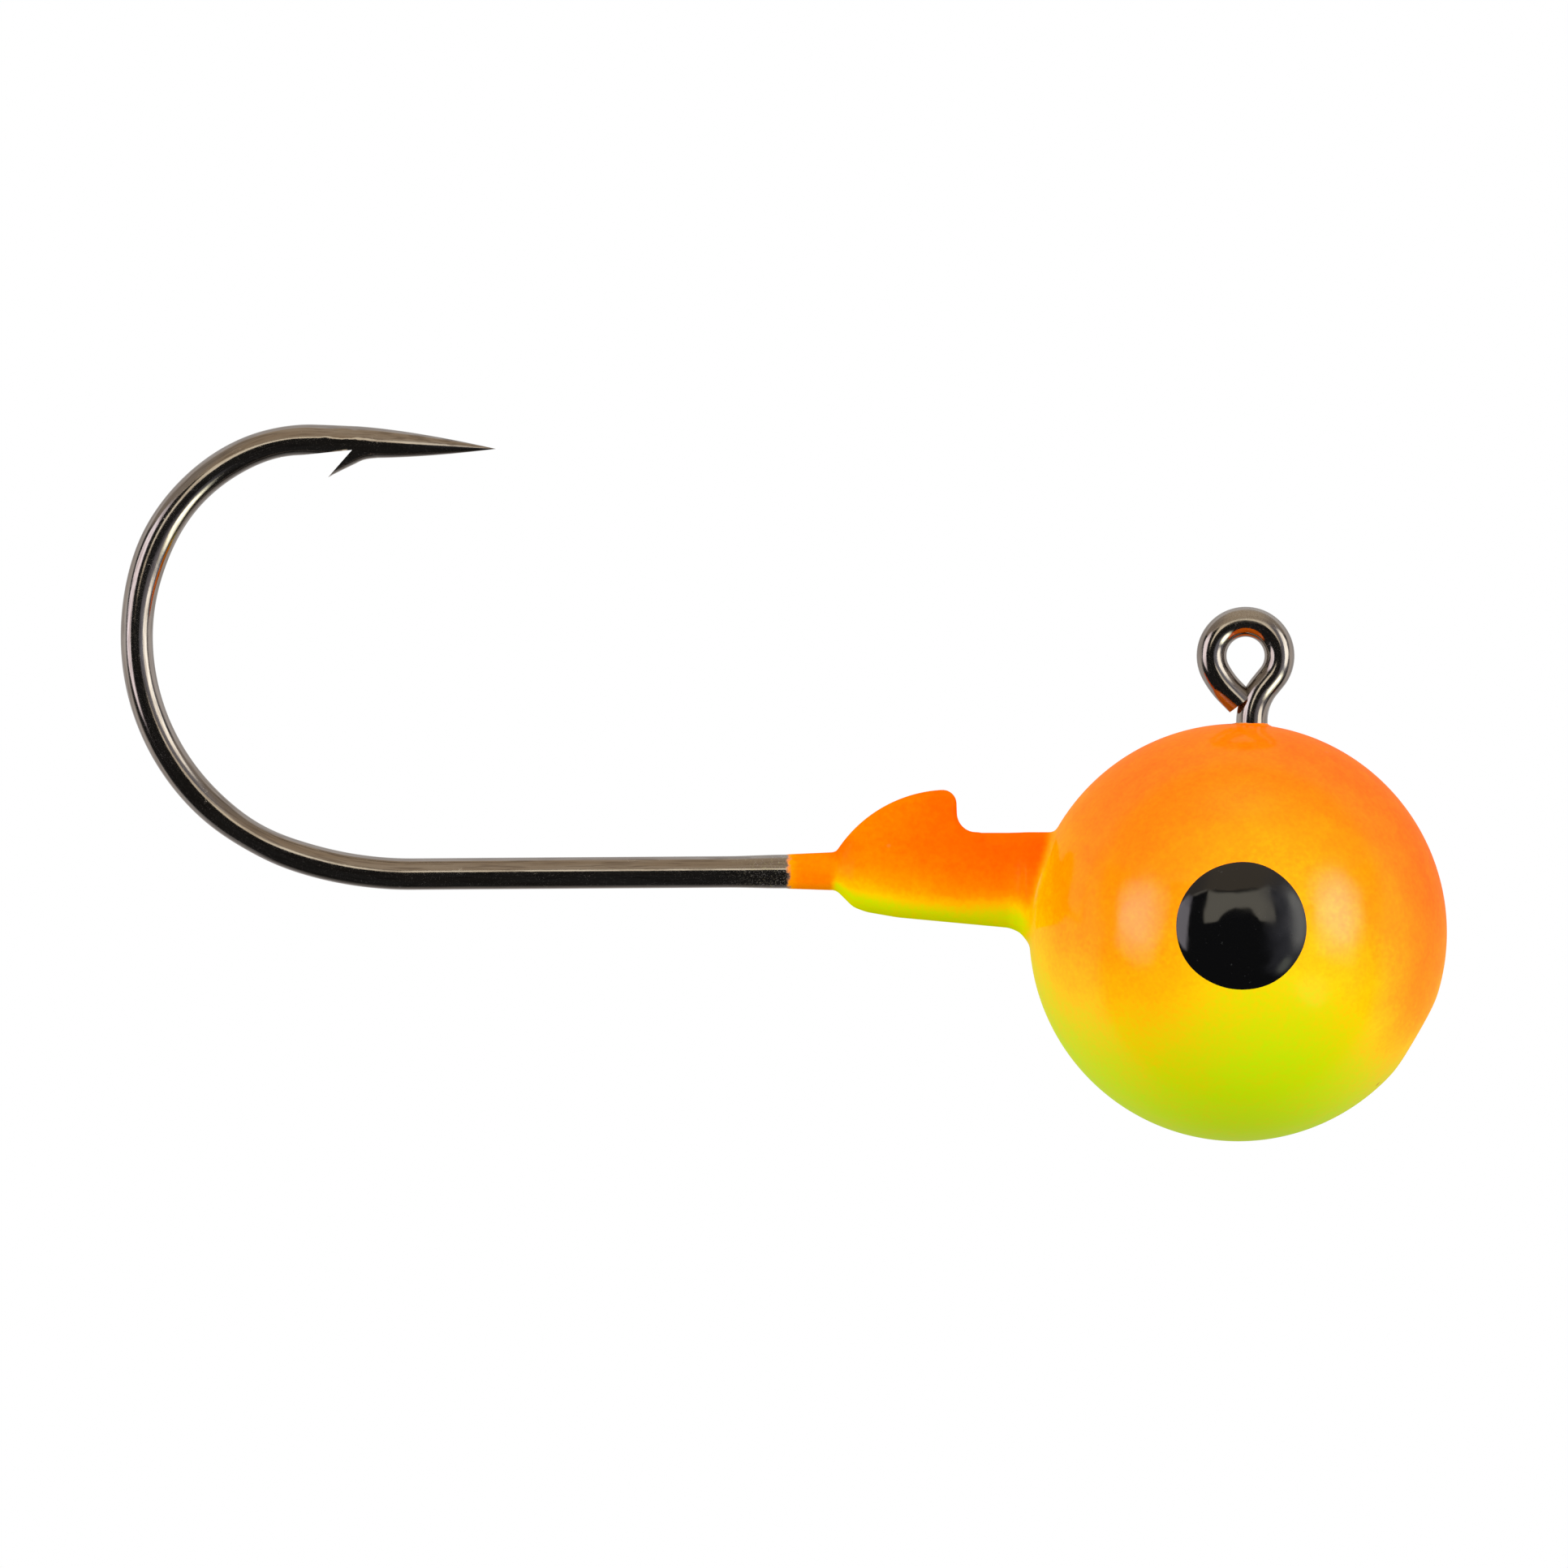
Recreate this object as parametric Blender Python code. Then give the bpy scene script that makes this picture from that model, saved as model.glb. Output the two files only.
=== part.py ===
"""A round-head fishing jig: one bent hook wire, a lead ball with a bait keeper collar cast on it,
a paint coat over the lead, and an enamel eye on each side.

The frame's origin is the centre of the line-tie ring. +Z is the way the line pulls, the hook lies in the
XZ plane with its bend towards -X, and the lead ball hangs below the ring. Dimensions are in millimetres.
"""

import math

import bmesh
import bpy
from mathutils import Vector

METRES = 0.001

# Wire
WIRE_RADIUS = 0.50
WIRE_SIDES = 12

# Line-tie ring, in the hook's own plane
RING_RADIUS = 1.075
RING_WIRE_RADIUS = 0.475
RING_LEG_ANGLE = 207.8
RING_NECK_ANGLE = -39.5
LEG_BEND_RADIUS = 2.74
LEG_BEND_TURN = 25.5
LEG_CUT_ANGLE = -53.0
LEG_CUT_CORNER = (-0.470, -1.772)
LEG_TO_NECK_GAP = 0.04
LEG_LAST_SECTION = 0.40
LEG_OVERRUN = 0.5
LEG_STEP = 0.01

# Neck, elbow and shank
NECK_X = 0.20
NECK_BEND_RADIUS = 1.78
NECK_LENGTH = 2.65
ELBOW_RADIUS = 2.00
SHANK_TILT = 0.4
SHANK_LENGTH = 24.55

# Hook bend, from the shank to the spear: (radius, turn in degrees)
HOOK_BENDS = ((11.55, 19.2), (7.29, 92.7), (5.78, 43.7), (4.59, 27.6))
SPEAR_LENGTH = 5.76
POINT_LENGTH = 4.40
POINT_FULLNESS = 1.55

# The stretches of the wire, in order, and how many sections each gets
LEG, RING, SLANT, NECK_BEND, NECK, ELBOW, SHANK = range(7)
SECTIONS = (4, 16, 1, 4, 2, 6, 8, 4, 15, 8, 5)
POINT_TAPERS = (1.0, 0.75, 0.52, 0.32, 0.16, 0.06)

# Barb: a chisel cut into the underside of the spear, whose chip stands out
BARB_TIP = (-29.03, 5.642)
BARB_APEX = (-28.263, 6.512)
CUT_START = (-30.42, 6.292)
BARB_CHIP_RADIUS = 0.43
BARB_CHIP_ANGLE = 26.0
BARB_CHIP_SPAN = (-0.35, 1.55)
BARB_CHIP_STEPS = 8
CUT_PAST_TIP = 1.6
CUT_PAST_START = 1.05
CUT_HALF_WIDTH = 1.5

# Lead ball and its gate scar
BALL_CENTRE = (-0.236, -8.754)
BALL_RADIUS = 6.60
BALL_SEGMENTS = 32
BALL_RINGS = 16
GATE_ANGLE = -30.0
GATE_DEPTH = 0.07
GATE_CUT_HALF = 2.0
GATE_CUT_HEIGHT = 1.0

# Collar, from the tail end to inside the ball: (x, top, bottom, half width)
COLLAR = (
    (-12.95, -6.19, -7.42, 0.61),
    (-12.42, -5.85, -7.95, 0.92),
    (-11.99, -5.67, -8.11, 1.05),
    (-11.01, -5.60, -8.28, 1.14),
    (-7.47, -5.60, -8.61, 1.24),
    (-7.13, -5.59, -8.76, 1.38),
    (-6.93, -5.58, -8.98, 1.58),
    (-5.60, -5.58, -9.02, 1.60),
)
COLLAR_SIDES = 20
CORE_TAIL_X = -12.70

# Paint sleeve that runs out along the shank
SLEEVE_END_X = -14.40
SLEEVE_END_RADIUS = 0.57
BORE_PAST_SLEEVE = 0.1
BORE_TOP_SHARE = 0.4

# Keeper fin on the collar
FIN_START = (-12.945, -6.189)
FIN_HEADING = 57.5
FIN_BACK_RADIUS = 4.22
FIN_NOSE_RADIUS = 0.44
FIN_NOSE_TURN = 91.0
FIN_FACE_LENGTH = 0.46
FIN_FOOT_RADIUS = 0.48
FIN_HALF_THICKNESS = 0.62
FIN_ROUNDING = 0.30
FIN_FLOOR_Z = -6.90
FIN_FLOOR_SETBACK = 0.25
FIN_SECTIONS = (8, 6, 1, 4)
# How the fin's edge is rounded: (share of the rounding in from the side, share in from the outline)
FIN_EDGE = ((0.0, 1.0), (0.4, 0.5), (1.0, 0.0))

# Paint and enamel
PAINT_THICKNESS = 0.15
NESTING_GAP = 0.03
BORE_GAP = 0.02
EYE_CENTRE = (0.040, 0.233)
EYE_RADIUS = 2.05
EYE_THICKNESS = 0.14
EYE_GAP = 0.02
EYE_SEGMENTS = 24
EYE_SHARES = (0.45, 0.8, 0.94, 1.0)
EYE_RIM_THICKNESS = 0.04


def clear_scene():
    for item in list(bpy.data.objects):
        bpy.data.objects.remove(item, do_unlink=True)


def make_material(name, colour, roughness, metallic):
    material = bpy.data.materials.new(name)
    material.use_nodes = True
    shader = material.node_tree.nodes["Principled BSDF"]
    shader.inputs["Base Color"].default_value = (*colour, 1.0)
    shader.inputs["Roughness"].default_value = roughness
    shader.inputs["Metallic"].default_value = metallic
    return material


def make_object(name, points, faces, material=None):
    """A closed mesh from points in millimetres. Its faces are turned to point out."""
    mesh = bpy.data.meshes.new(name)
    mesh.from_pydata([Vector(p) * METRES for p in points], [], faces)
    shape = bmesh.new()
    shape.from_mesh(mesh)
    bmesh.ops.recalc_face_normals(shape, faces=shape.faces)
    shape.to_mesh(mesh)
    shape.free()
    mesh.shade_smooth()
    mesh.set_sharp_from_angle(angle=math.radians(40))
    item = bpy.data.objects.new(name, mesh)
    bpy.context.scene.collection.objects.link(item)
    if material:
        mesh.materials.append(material)
    return item


def make_helper(item):
    item.hide_render = True
    item.display_type = "WIRE"
    return item


def boolean(item, other, operation):
    modifier = item.modifiers.new(f"{operation.lower()}_{other.name}", "BOOLEAN")
    modifier.operation = operation
    modifier.solver = "EXACT"
    modifier.object = other


# ---------------------------------------------------------------- flat paths of straights and arcs


def straight(length):
    return length, 0.0


def bend(radius, degrees):
    """An arc. A positive angle turns left."""
    return radius * math.radians(abs(degrees)), math.radians(degrees)


def advance(x, z, heading, length, curvature):
    if abs(curvature) < 1e-9:
        return x + length * math.cos(heading), z + length * math.sin(heading), heading
    turned = heading + curvature * length
    x += (math.sin(turned) - math.sin(heading)) / curvature
    z -= (math.cos(turned) - math.cos(heading)) / curvature
    return x, z, turned


def trace(start, heading, stretches):
    """Each stretch as (distance of its start, x, z, heading, length, curvature)."""
    x, z = start
    distance = 0.0
    rows = []
    for length, turn in stretches:
        curvature = turn / length
        rows.append((distance, x, z, heading, length, curvature))
        x, z, heading = advance(x, z, heading, length, curvature)
        distance += length
    return rows


def path_at(rows, distance):
    row = [r for r in rows if r[0] <= distance + 1e-9][-1]
    return advance(row[1], row[2], row[3], distance - row[0], row[5])


def bridge_rings(rings, first_cap=True, last_cap=True):
    """Points and faces of a skin over rings of equal count."""
    count = len(rings[0])
    points = [p for ring in rings for p in ring]
    faces = []
    for i in range(len(rings) - 1):
        for j in range(count):
            k = (j + 1) % count
            faces.append((i * count + j, i * count + k, (i + 1) * count + k, (i + 1) * count + j))
    if first_cap:
        faces.append(tuple(range(count)))
    if last_cap:
        faces.append(tuple(range(len(points) - count, len(points))))
    return points, faces


# ---------------------------------------------------------------- hook


def wire_path():
    """The wire's centreline, from the cut end of the ring to the point of the hook."""
    joint = math.radians(RING_LEG_ANGLE)
    leg_length, leg_turn = bend(LEG_BEND_RADIUS, LEG_BEND_TURN)
    on_ring = (RING_RADIUS * math.cos(joint), RING_RADIUS * math.sin(joint))
    x, z, away = advance(*on_ring, joint + math.pi / 2, leg_length, leg_turn / leg_length)

    slope = math.radians(RING_NECK_ANGLE - 90)
    sideways = NECK_BEND_RADIUS * (-1 - math.sin(slope))
    slant = (NECK_X - RING_RADIUS * math.cos(math.radians(RING_NECK_ANGLE)) - sideways) / math.cos(slope)
    stretches = [
        bend(LEG_BEND_RADIUS, -LEG_BEND_TURN),
        bend(RING_RADIUS, RING_NECK_ANGLE - RING_LEG_ANGLE),
        straight(slant),
        bend(NECK_BEND_RADIUS, -RING_NECK_ANGLE),
        straight(NECK_LENGTH),
        bend(ELBOW_RADIUS, SHANK_TILT - 90),
        straight(SHANK_LENGTH),
    ]
    stretches += [bend(radius, -turn) for radius, turn in HOOK_BENDS]
    stretches.append(straight(SPEAR_LENGTH))
    return trace((x, z), away - math.pi, stretches)


WIRE = wire_path()
WIRE_LENGTH = WIRE[-1][0] + WIRE[-1][4]
NECK_START, NECK_BEND_LENGTH = WIRE[NECK_BEND][0], WIRE[NECK_BEND][4]
SHANK_START, SHANK_START_X = WIRE[SHANK][:2]


def on_shank(x):
    """Distance along the wire at which the shank reaches x."""
    return SHANK_START + SHANK_START_X - x


def wire_radius(distance):
    from_point = (WIRE_LENGTH - distance) / POINT_LENGTH
    if from_point < 1:
        return WIRE_RADIUS * (1 - (1 - from_point) ** POINT_FULLNESS)
    along_neck = min(max((distance - NECK_START) / NECK_BEND_LENGTH, 0), 1)
    return RING_WIRE_RADIUS + (WIRE_RADIUS - RING_WIRE_RADIUS) * along_neck


def wire_stations():
    """Distances at which the wire gets a ring of points: close together where it bends or tapers."""
    stations = []
    for row, count in zip(WIRE, SECTIONS):
        stations += [row[0] + row[4] * i / count for i in range(count)]
    stations.append(WIRE[-1][0])
    stations += [WIRE_LENGTH - POINT_LENGTH * t for t in POINT_TAPERS]
    return stations


def wire_ring(distance, grow=0.0):
    x, z, heading = path_at(WIRE, distance)
    radius = wire_radius(distance) + grow
    ring = []
    for i in range(WIRE_SIDES):
        angle = 2 * math.pi * i / WIRE_SIDES
        out = radius * math.cos(angle)
        ring.append((x - out * math.sin(heading), radius * math.sin(angle), z + out * math.cos(heading)))
    return ring


def beyond_cut(point):
    """Whether a point lies past the sheared end of the ring's leg."""
    angle = math.radians(LEG_CUT_ANGLE)
    across = (point[0] - LEG_CUT_CORNER[0]) * math.cos(angle)
    return across + (point[2] - LEG_CUT_CORNER[1]) * math.sin(angle) > 0


def near_neck(point):
    """Whether a point lies closer to the neck's centreline than the neck's surface and a small gap."""
    samples = 40
    limit = RING_WIRE_RADIUS + LEG_TO_NECK_GAP
    start, end = WIRE[SLANT][0], WIRE[ELBOW][0]
    for i in range(samples + 1):
        x, z, _ = path_at(WIRE, start + (end - start) * i / samples)
        if (point[0] - x) ** 2 + point[1] ** 2 + (point[2] - z) ** 2 < limit**2:
            return True
    return False


def sheared_leg_end():
    """The ring's last circle of points, each run on along the leg until it meets the cut or the neck."""
    heading = path_at(WIRE, LEG_LAST_SECTION)[2] + math.pi
    ends = []
    for x, y, z in wire_ring(LEG_LAST_SECTION):
        run = 0.0
        while run < LEG_LAST_SECTION + LEG_OVERRUN:
            ahead = run + LEG_STEP
            moved = (x + ahead * math.cos(heading), y, z + ahead * math.sin(heading))
            if beyond_cut(moved) or near_neck(moved):
                break
            run = ahead
        ends.append((x + run * math.cos(heading), y, z + run * math.sin(heading)))
    return ends


def make_hook(material):
    rings = [sheared_leg_end()] + [wire_ring(d) for d in wire_stations() if d > LEG_LAST_SECTION]
    points, faces = bridge_rings(rings, last_cap=False)
    x, z, _ = path_at(WIRE, WIRE_LENGTH)
    tip = len(points)
    points.append((x, 0, z))
    last = tip - WIRE_SIDES
    for j in range(WIRE_SIDES):
        faces.append((last + j, last + (j + 1) % WIRE_SIDES, tip))
    hook = make_object("hook", points, faces, material)
    boolean(hook, make_barb_chip(), "UNION")
    boolean(hook, make_barb_cut(), "DIFFERENCE")
    return hook


def make_barb_chip():
    """The chip before it is cut free: a half-round bar that leaves the spear towards the barb's tip."""
    angle = math.radians(BARB_CHIP_ANGLE)
    along = Vector((math.cos(angle), 0, math.sin(angle)))
    up = Vector((-math.sin(angle), 0, math.cos(angle)))
    across = Vector((0, 1, 0))
    lower = Vector((BARB_TIP[0], 0, BARB_TIP[1]))
    rings = []
    for run in BARB_CHIP_SPAN:
        ring = []
        for i in range(BARB_CHIP_STEPS + 1):
            turn = math.pi * i / BARB_CHIP_STEPS
            lift = BARB_CHIP_RADIUS * (1 - math.sin(turn))
            ring.append(lower + along * run + up * lift + across * BARB_CHIP_RADIUS * math.cos(turn))
        rings.append(ring)
    return make_helper(make_object("barb_chip", *bridge_rings(rings)))


def make_barb_cut():
    """The wedge that the chisel opened between the spear's flat and the barb."""
    apex = Vector((BARB_APEX[0], 0, BARB_APEX[1]))
    tip = Vector((BARB_TIP[0], 0, BARB_TIP[1]))
    flat = Vector((CUT_START[0], 0, CUT_START[1]))
    outline = [apex, apex + (tip - apex) * CUT_PAST_TIP, apex + (flat - apex) * CUT_PAST_START]
    half = Vector((0, CUT_HALF_WIDTH, 0))
    rings = [[p - half for p in outline], [p + half for p in outline]]
    return make_helper(make_object("barb_cut", *bridge_rings(rings)))


def make_bore(name, grow):
    """The space that the wire takes in the head, from above the ball to behind the paint sleeve."""
    start = NECK_START + NECK_BEND_LENGTH * BORE_TOP_SHARE
    behind = min(d for d in wire_stations() if d > on_shank(SLEEVE_END_X) + BORE_PAST_SLEEVE)
    rings = [wire_ring(d, grow) for d in wire_stations() if start < d <= behind]
    return make_helper(make_object(name, *bridge_rings(rings)))


# ---------------------------------------------------------------- head


def make_ball(name, inset, material=None):
    radius = BALL_RADIUS - inset
    shape = bmesh.new()
    bmesh.ops.create_uvsphere(shape, u_segments=BALL_SEGMENTS, v_segments=BALL_RINGS, radius=radius)
    centre = Vector((BALL_CENTRE[0], 0, BALL_CENTRE[1]))
    points = [v.co + centre for v in shape.verts]
    faces = [[v.index for v in face.verts] for face in shape.faces]
    shape.free()
    return make_object(name, points, faces, material)


def make_collar(name, inset, with_sleeve):
    """A tube of oval sections that grows from the shank into the ball."""
    rings = []
    sections = [(x, top - inset, bottom + inset, half - inset) for x, top, bottom, half in COLLAR]
    if with_sleeve:
        x, z, _ = path_at(WIRE, on_shank(SLEEVE_END_X))
        sections.insert(0, (x, z + SLEEVE_END_RADIUS, z - SLEEVE_END_RADIUS, SLEEVE_END_RADIUS))
    else:
        share = (CORE_TAIL_X - COLLAR[0][0]) / (COLLAR[1][0] - COLLAR[0][0])
        tail = [a + (b - a) * share for a, b in zip(sections[0], sections[1])]
        tail[0] += inset - PAINT_THICKNESS
        sections[0] = tail
    for x, top, bottom, half in sections:
        ring = []
        for i in range(COLLAR_SIDES):
            angle = 2 * math.pi * i / COLLAR_SIDES
            height = (top + bottom) / 2 + (top - bottom) / 2 * math.cos(angle)
            ring.append((x, half * math.sin(angle), height))
        rings.append(ring)
    return make_helper(make_object(name, *bridge_rings(rings)))


def fin_outline(inset):
    """The fin's side view: a long back, a round nose, an upright face and a hollow foot on the collar."""
    stretches = [
        bend(FIN_BACK_RADIUS, -(FIN_HEADING - 3)),
        bend(FIN_NOSE_RADIUS, -FIN_NOSE_TURN),
        straight(FIN_FACE_LENGTH),
        bend(FIN_FOOT_RADIUS, FIN_NOSE_TURN - 3),
    ]
    rows = trace(FIN_START, math.radians(FIN_HEADING), stretches)
    outline = []
    for row, count in zip(rows, FIN_SECTIONS):
        for i in range(count + (row is rows[-1])):
            x, z, heading = path_at(rows, row[0] + row[4] * i / count * 0.9999)
            outline.append((x + inset * math.sin(heading), z - inset * math.cos(heading)))
    outline.append((outline[-1][0], FIN_FLOOR_Z))
    outline.append((outline[0][0] + FIN_FLOOR_SETBACK, FIN_FLOOR_Z))
    return outline


def make_fin(name, inset):
    """A plate in the fin's outline, with rounded edges."""
    half = FIN_HALF_THICKNESS - inset
    rounding = FIN_ROUNDING - inset
    sections = []
    for from_side, from_outline in FIN_EDGE:
        sections.append((half - rounding * from_side, fin_outline(inset + rounding * from_outline)))
    rings = [[(x, -side, z) for x, z in outline] for side, outline in sections]
    rings += [[(x, side, z) for x, z in outline] for side, outline in reversed(sections)]
    return make_helper(make_object(name, *bridge_rings(rings)))


def make_gate_cut(name, inset):
    """A box whose near face is the flat that the casting gate left."""
    angle = math.radians(GATE_ANGLE)
    out = Vector((math.cos(angle), 0, math.sin(angle)))
    side = Vector((-math.sin(angle), 0, math.cos(angle)))
    near = Vector((BALL_CENTRE[0], 0, BALL_CENTRE[1])) + out * (BALL_RADIUS - inset - GATE_DEPTH)
    square = [(a * GATE_CUT_HALF, b * GATE_CUT_HALF) for a, b in ((-1, -1), (-1, 1), (1, 1), (1, -1))]
    corners = [side * a + Vector((0, b, 0)) for a, b in square]
    rings = [[near + out * height + corner for corner in corners] for height in (0.0, GATE_CUT_HEIGHT)]
    return make_helper(make_object(name, *bridge_rings(rings)))


def make_head(name, inset, with_sleeve, material=None):
    """Ball, collar and fin as one body, with its whole surface moved in by inset."""
    head = make_ball(name, inset, material)
    boolean(head, make_collar(f"{name}_collar", inset, with_sleeve), "UNION")
    boolean(head, make_fin(f"{name}_fin", inset), "UNION")
    boolean(head, make_gate_cut(f"{name}_gate", inset), "DIFFERENCE")
    return head


def make_eye(name, side, material):
    """A disc of enamel that follows the ball, with a rounded rim."""
    reach = math.asin(EYE_RADIUS / BALL_RADIUS)
    under = BALL_RADIUS + EYE_GAP
    profile = []
    for share in EYE_SHARES:
        thickness = EYE_THICKNESS * (1 - share**6) ** 0.5
        profile.append((reach * share, under + max(thickness, EYE_RIM_THICKNESS)))
    for share in reversed(EYE_SHARES):
        profile.append((reach * share, under))
    rings = []
    for angle, radius in profile:
        ring = []
        for i in range(EYE_SEGMENTS):
            turn = 2 * math.pi * i / EYE_SEGMENTS
            flat = radius * math.sin(angle)
            ring.append((flat * math.cos(turn), flat * math.sin(turn), radius * math.cos(angle)))
        rings.append(ring)
    points, faces = bridge_rings(rings, first_cap=False, last_cap=False)
    for level, radius in ((0, under + EYE_THICKNESS), (len(rings) - 1, under)):
        centre = len(points)
        points.append((0, 0, radius))
        for j in range(EYE_SEGMENTS):
            first = level * EYE_SEGMENTS
            faces.append((first + j, first + (j + 1) % EYE_SEGMENTS, centre))
    eye = make_object(name, points, faces, material)
    depth = math.sqrt(BALL_RADIUS**2 - EYE_CENTRE[0] ** 2 - EYE_CENTRE[1] ** 2)
    outward = Vector((EYE_CENTRE[0], side * depth, EYE_CENTRE[1]))
    eye.rotation_euler = outward.to_track_quat("Z", "Y").to_euler()
    eye.location = Vector((BALL_CENTRE[0], 0, BALL_CENTRE[1])) * METRES
    return eye


def main():
    clear_scene()
    nickel = make_material("black_nickel", (0.30, 0.28, 0.26), 0.15, 1.0)
    lead = make_material("lead", (0.30, 0.31, 0.33), 0.55, 1.0)
    paint = make_material("orange_paint", (1.0, 0.27, 0.0), 0.15, 0.0)
    enamel = make_material("black_enamel", (0.004, 0.004, 0.004), 0.08, 0.0)

    make_hook(nickel)

    lead_head = make_head("lead_head", PAINT_THICKNESS, False, lead)
    boolean(lead_head, make_bore("lead_bore", BORE_GAP), "DIFFERENCE")

    paint_coat = make_head("paint_coat", 0.0, True, paint)
    core = make_helper(make_head("coat_core", PAINT_THICKNESS - NESTING_GAP, False))
    boolean(paint_coat, core, "DIFFERENCE")
    boolean(paint_coat, make_bore("coat_bore", BORE_GAP), "DIFFERENCE")

    make_eye("eye_left", 1, enamel)
    make_eye("eye_right", -1, enamel)


main()
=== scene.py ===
"""The looks of a round-head fishing jig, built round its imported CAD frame.

Shapes are made in millimetres in the CAD's own frame, and scaled to metres when a mesh is made. The frame's
origin is the centre of the line-tie ring, +Z is the pull of the line, and the hook lies in the XZ plane with
its bend towards -X. The sizes are part.py's, but a few are finer here: the barb, the gap at the ring's leg,
the sleeve's end, the fin's foot and edges, the paint's thickness and the eyes.
"""

import math

import bmesh
import bpy
import numpy as np
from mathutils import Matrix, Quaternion, Vector


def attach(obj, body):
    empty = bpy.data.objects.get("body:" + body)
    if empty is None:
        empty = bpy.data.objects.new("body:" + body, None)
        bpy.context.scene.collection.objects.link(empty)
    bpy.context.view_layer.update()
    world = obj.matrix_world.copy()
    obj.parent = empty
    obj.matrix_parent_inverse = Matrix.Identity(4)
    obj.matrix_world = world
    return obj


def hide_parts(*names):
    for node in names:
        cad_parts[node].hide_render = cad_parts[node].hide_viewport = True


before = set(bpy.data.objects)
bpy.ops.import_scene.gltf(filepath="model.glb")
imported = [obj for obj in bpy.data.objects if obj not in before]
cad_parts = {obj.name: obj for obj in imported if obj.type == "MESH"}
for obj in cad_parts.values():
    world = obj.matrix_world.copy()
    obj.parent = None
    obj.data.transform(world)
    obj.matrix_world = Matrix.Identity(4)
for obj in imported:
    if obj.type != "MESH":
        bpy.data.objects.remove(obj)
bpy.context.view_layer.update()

METRES = 0.001
BODY = "root"
SMOOTH_ANGLE = 38.0

# Wire. The bends are (radius, degrees).
WIRE_RADIUS = 0.50
WIRE_SIDES = 48
WIRE_STEP = 0.08
RING_RADIUS = 1.075
RING_WIRE_RADIUS = 0.475
RING_LEG_ANGLE = 207.8
RING_NECK_ANGLE = -39.5
LEG_BEND_RADIUS = 2.74
LEG_BEND_TURN = 25.5
LEG_CUT_ANGLE = -53.0
LEG_CUT_CORNER = (-0.470, -1.772)
LEG_TO_NECK_GAP = 0.015
NECK_X = 0.20
NECK_BEND_RADIUS = 1.78
NECK_LENGTH = 2.65
ELBOW_RADIUS = 2.00
SHANK_TILT = 0.4
SHANK_LENGTH = 24.55
HOOK_BENDS = ((11.55, 19.2), (7.29, 92.7), (5.78, 43.7), (4.59, 27.6))
SPEAR_LENGTH = 5.76
POINT_LENGTH = 4.40
POINT_FULLNESS = 1.55
POINT_BLUNTNESS = 0.004
LEG, RING, SLANT, NECK_BEND, NECK, ELBOW, SHANK, BEND = range(8)

# The ring's leg: where it is run on from to its cut, how much it has to spare, and its face's narrow bevel
LEG_RUN_START = 0.40
LEG_RUN_SPARE = 0.5
LEG_FACE_SHARE = 0.93
LEG_FACE_LIFT = 0.002

# Where the bend is pressed wider or narrower in its own plane: (angle round the bend, spread, change)
BEND_MIDDLE = (-28.11, 0.0)
BEND_SWELLS = ((152, 13, 0.040), (190, 28, 0.012), (240, 10, -0.034), (110, 9, -0.025))

# Lacquer on the shank round the sleeve of paint: it thickens from x to x, and thins out from x to x
LACQUER_RISE = (-16.40, -14.60)
LACQUER_FADE = (-12.6, -13.4)
LACQUER_THICKNESS = 0.035

# Barb. The cut runs past the barb's tip and the spear's flat by a share of its sides.
BARB_TIP = (-29.03, 5.642)
BARB_APEX = (-28.263, 6.512)
CUT_START = (-30.42, 6.292)
BARB_UNDERSIDE = (
    (-29.48, 5.425), BARB_TIP, (-28.777, 5.778), (-28.248, 6.035), (-27.86, 6.205),
    (-27.35, 6.265), (-26.85, 6.300),
)
BARB_SECTION_RADIUS = 0.44
BARB_UNDER_BACK = 0.95
CUT_PAST_TIP = 1.6
CUT_PAST_FLAT = 1.05
CUT_HALF_WIDTH = 1.5

# Ball
BALL = np.array((-0.236, 0.0, -8.754))
BALL_RADIUS = 6.60
GATE_ANGLE = -30.0
GATE_DEPTH = 0.07
GATE_BLEND = 0.10
RIDGE_HEIGHT = 0.010
RIDGE_HALF_WIDTH = 0.10

# Sleeve, as (x, radius), and collar, as (x, top, bottom, half width)
SLEEVE = ((-15.40, 0.420), (-14.70, 0.500), (-14.52, 0.547), (-12.97, 0.606))
COLLAR = (
    (-12.95, -6.19, -7.42, 0.61),
    (-12.42, -5.85, -7.95, 0.92),
    (-11.99, -5.67, -8.11, 1.05),
    (-11.01, -5.60, -8.28, 1.14),
    (-7.47, -5.60, -8.61, 1.24),
    (-7.13, -5.59, -8.76, 1.38),
    (-6.93, -5.58, -8.98, 1.58),
    (-5.60, -5.58, -9.02, 1.60),
)
ROUND_POWER = 2.0
COLLAR_POWER = 2.5
COLLAR_SOFTENING = (-0.10, -0.05, 0.0, 0.05, 0.10)

# Fin
FIN_START = (-12.945, -6.189)
FIN_HEADING = 57.5
FIN_BACK_RADIUS = 4.22
FIN_TOP_SLOPE = 3.0
FIN_NOSE_RADIUS = 0.44
FIN_NOSE_TURN = 91.0
FIN_FACE_LENGTH = 0.32
FIN_FOOT_RADIUS = 0.62
FIN_FLOOR_Z = -6.90
FIN_TOP_Z = -4.25
FIN_TOP_HALF = 0.64
FIN_FLOOR_HALF = 1.10
FIN_ROUNDING = 0.26
FIN_HEEL = 0.4
FIN_TAPER_X = (-13.0, -12.4, -11.8, -11.0)
FIN_TAPER = (0.55, 0.80, 0.94, 1.0)

# Edge of the paint on the neck, and the fillets where its parts meet
NECK_FILM_RADIUS = 0.525
NECK_FILM_HEIGHT = 0.05
NECK_FILM_DEPTH = 0.6
NECK_BLEND = 0.08
KEEPER_BLEND = 0.05
BALL_BLEND = 0.16
BALL_BLEND_MORE_BELOW = 0.16

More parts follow.
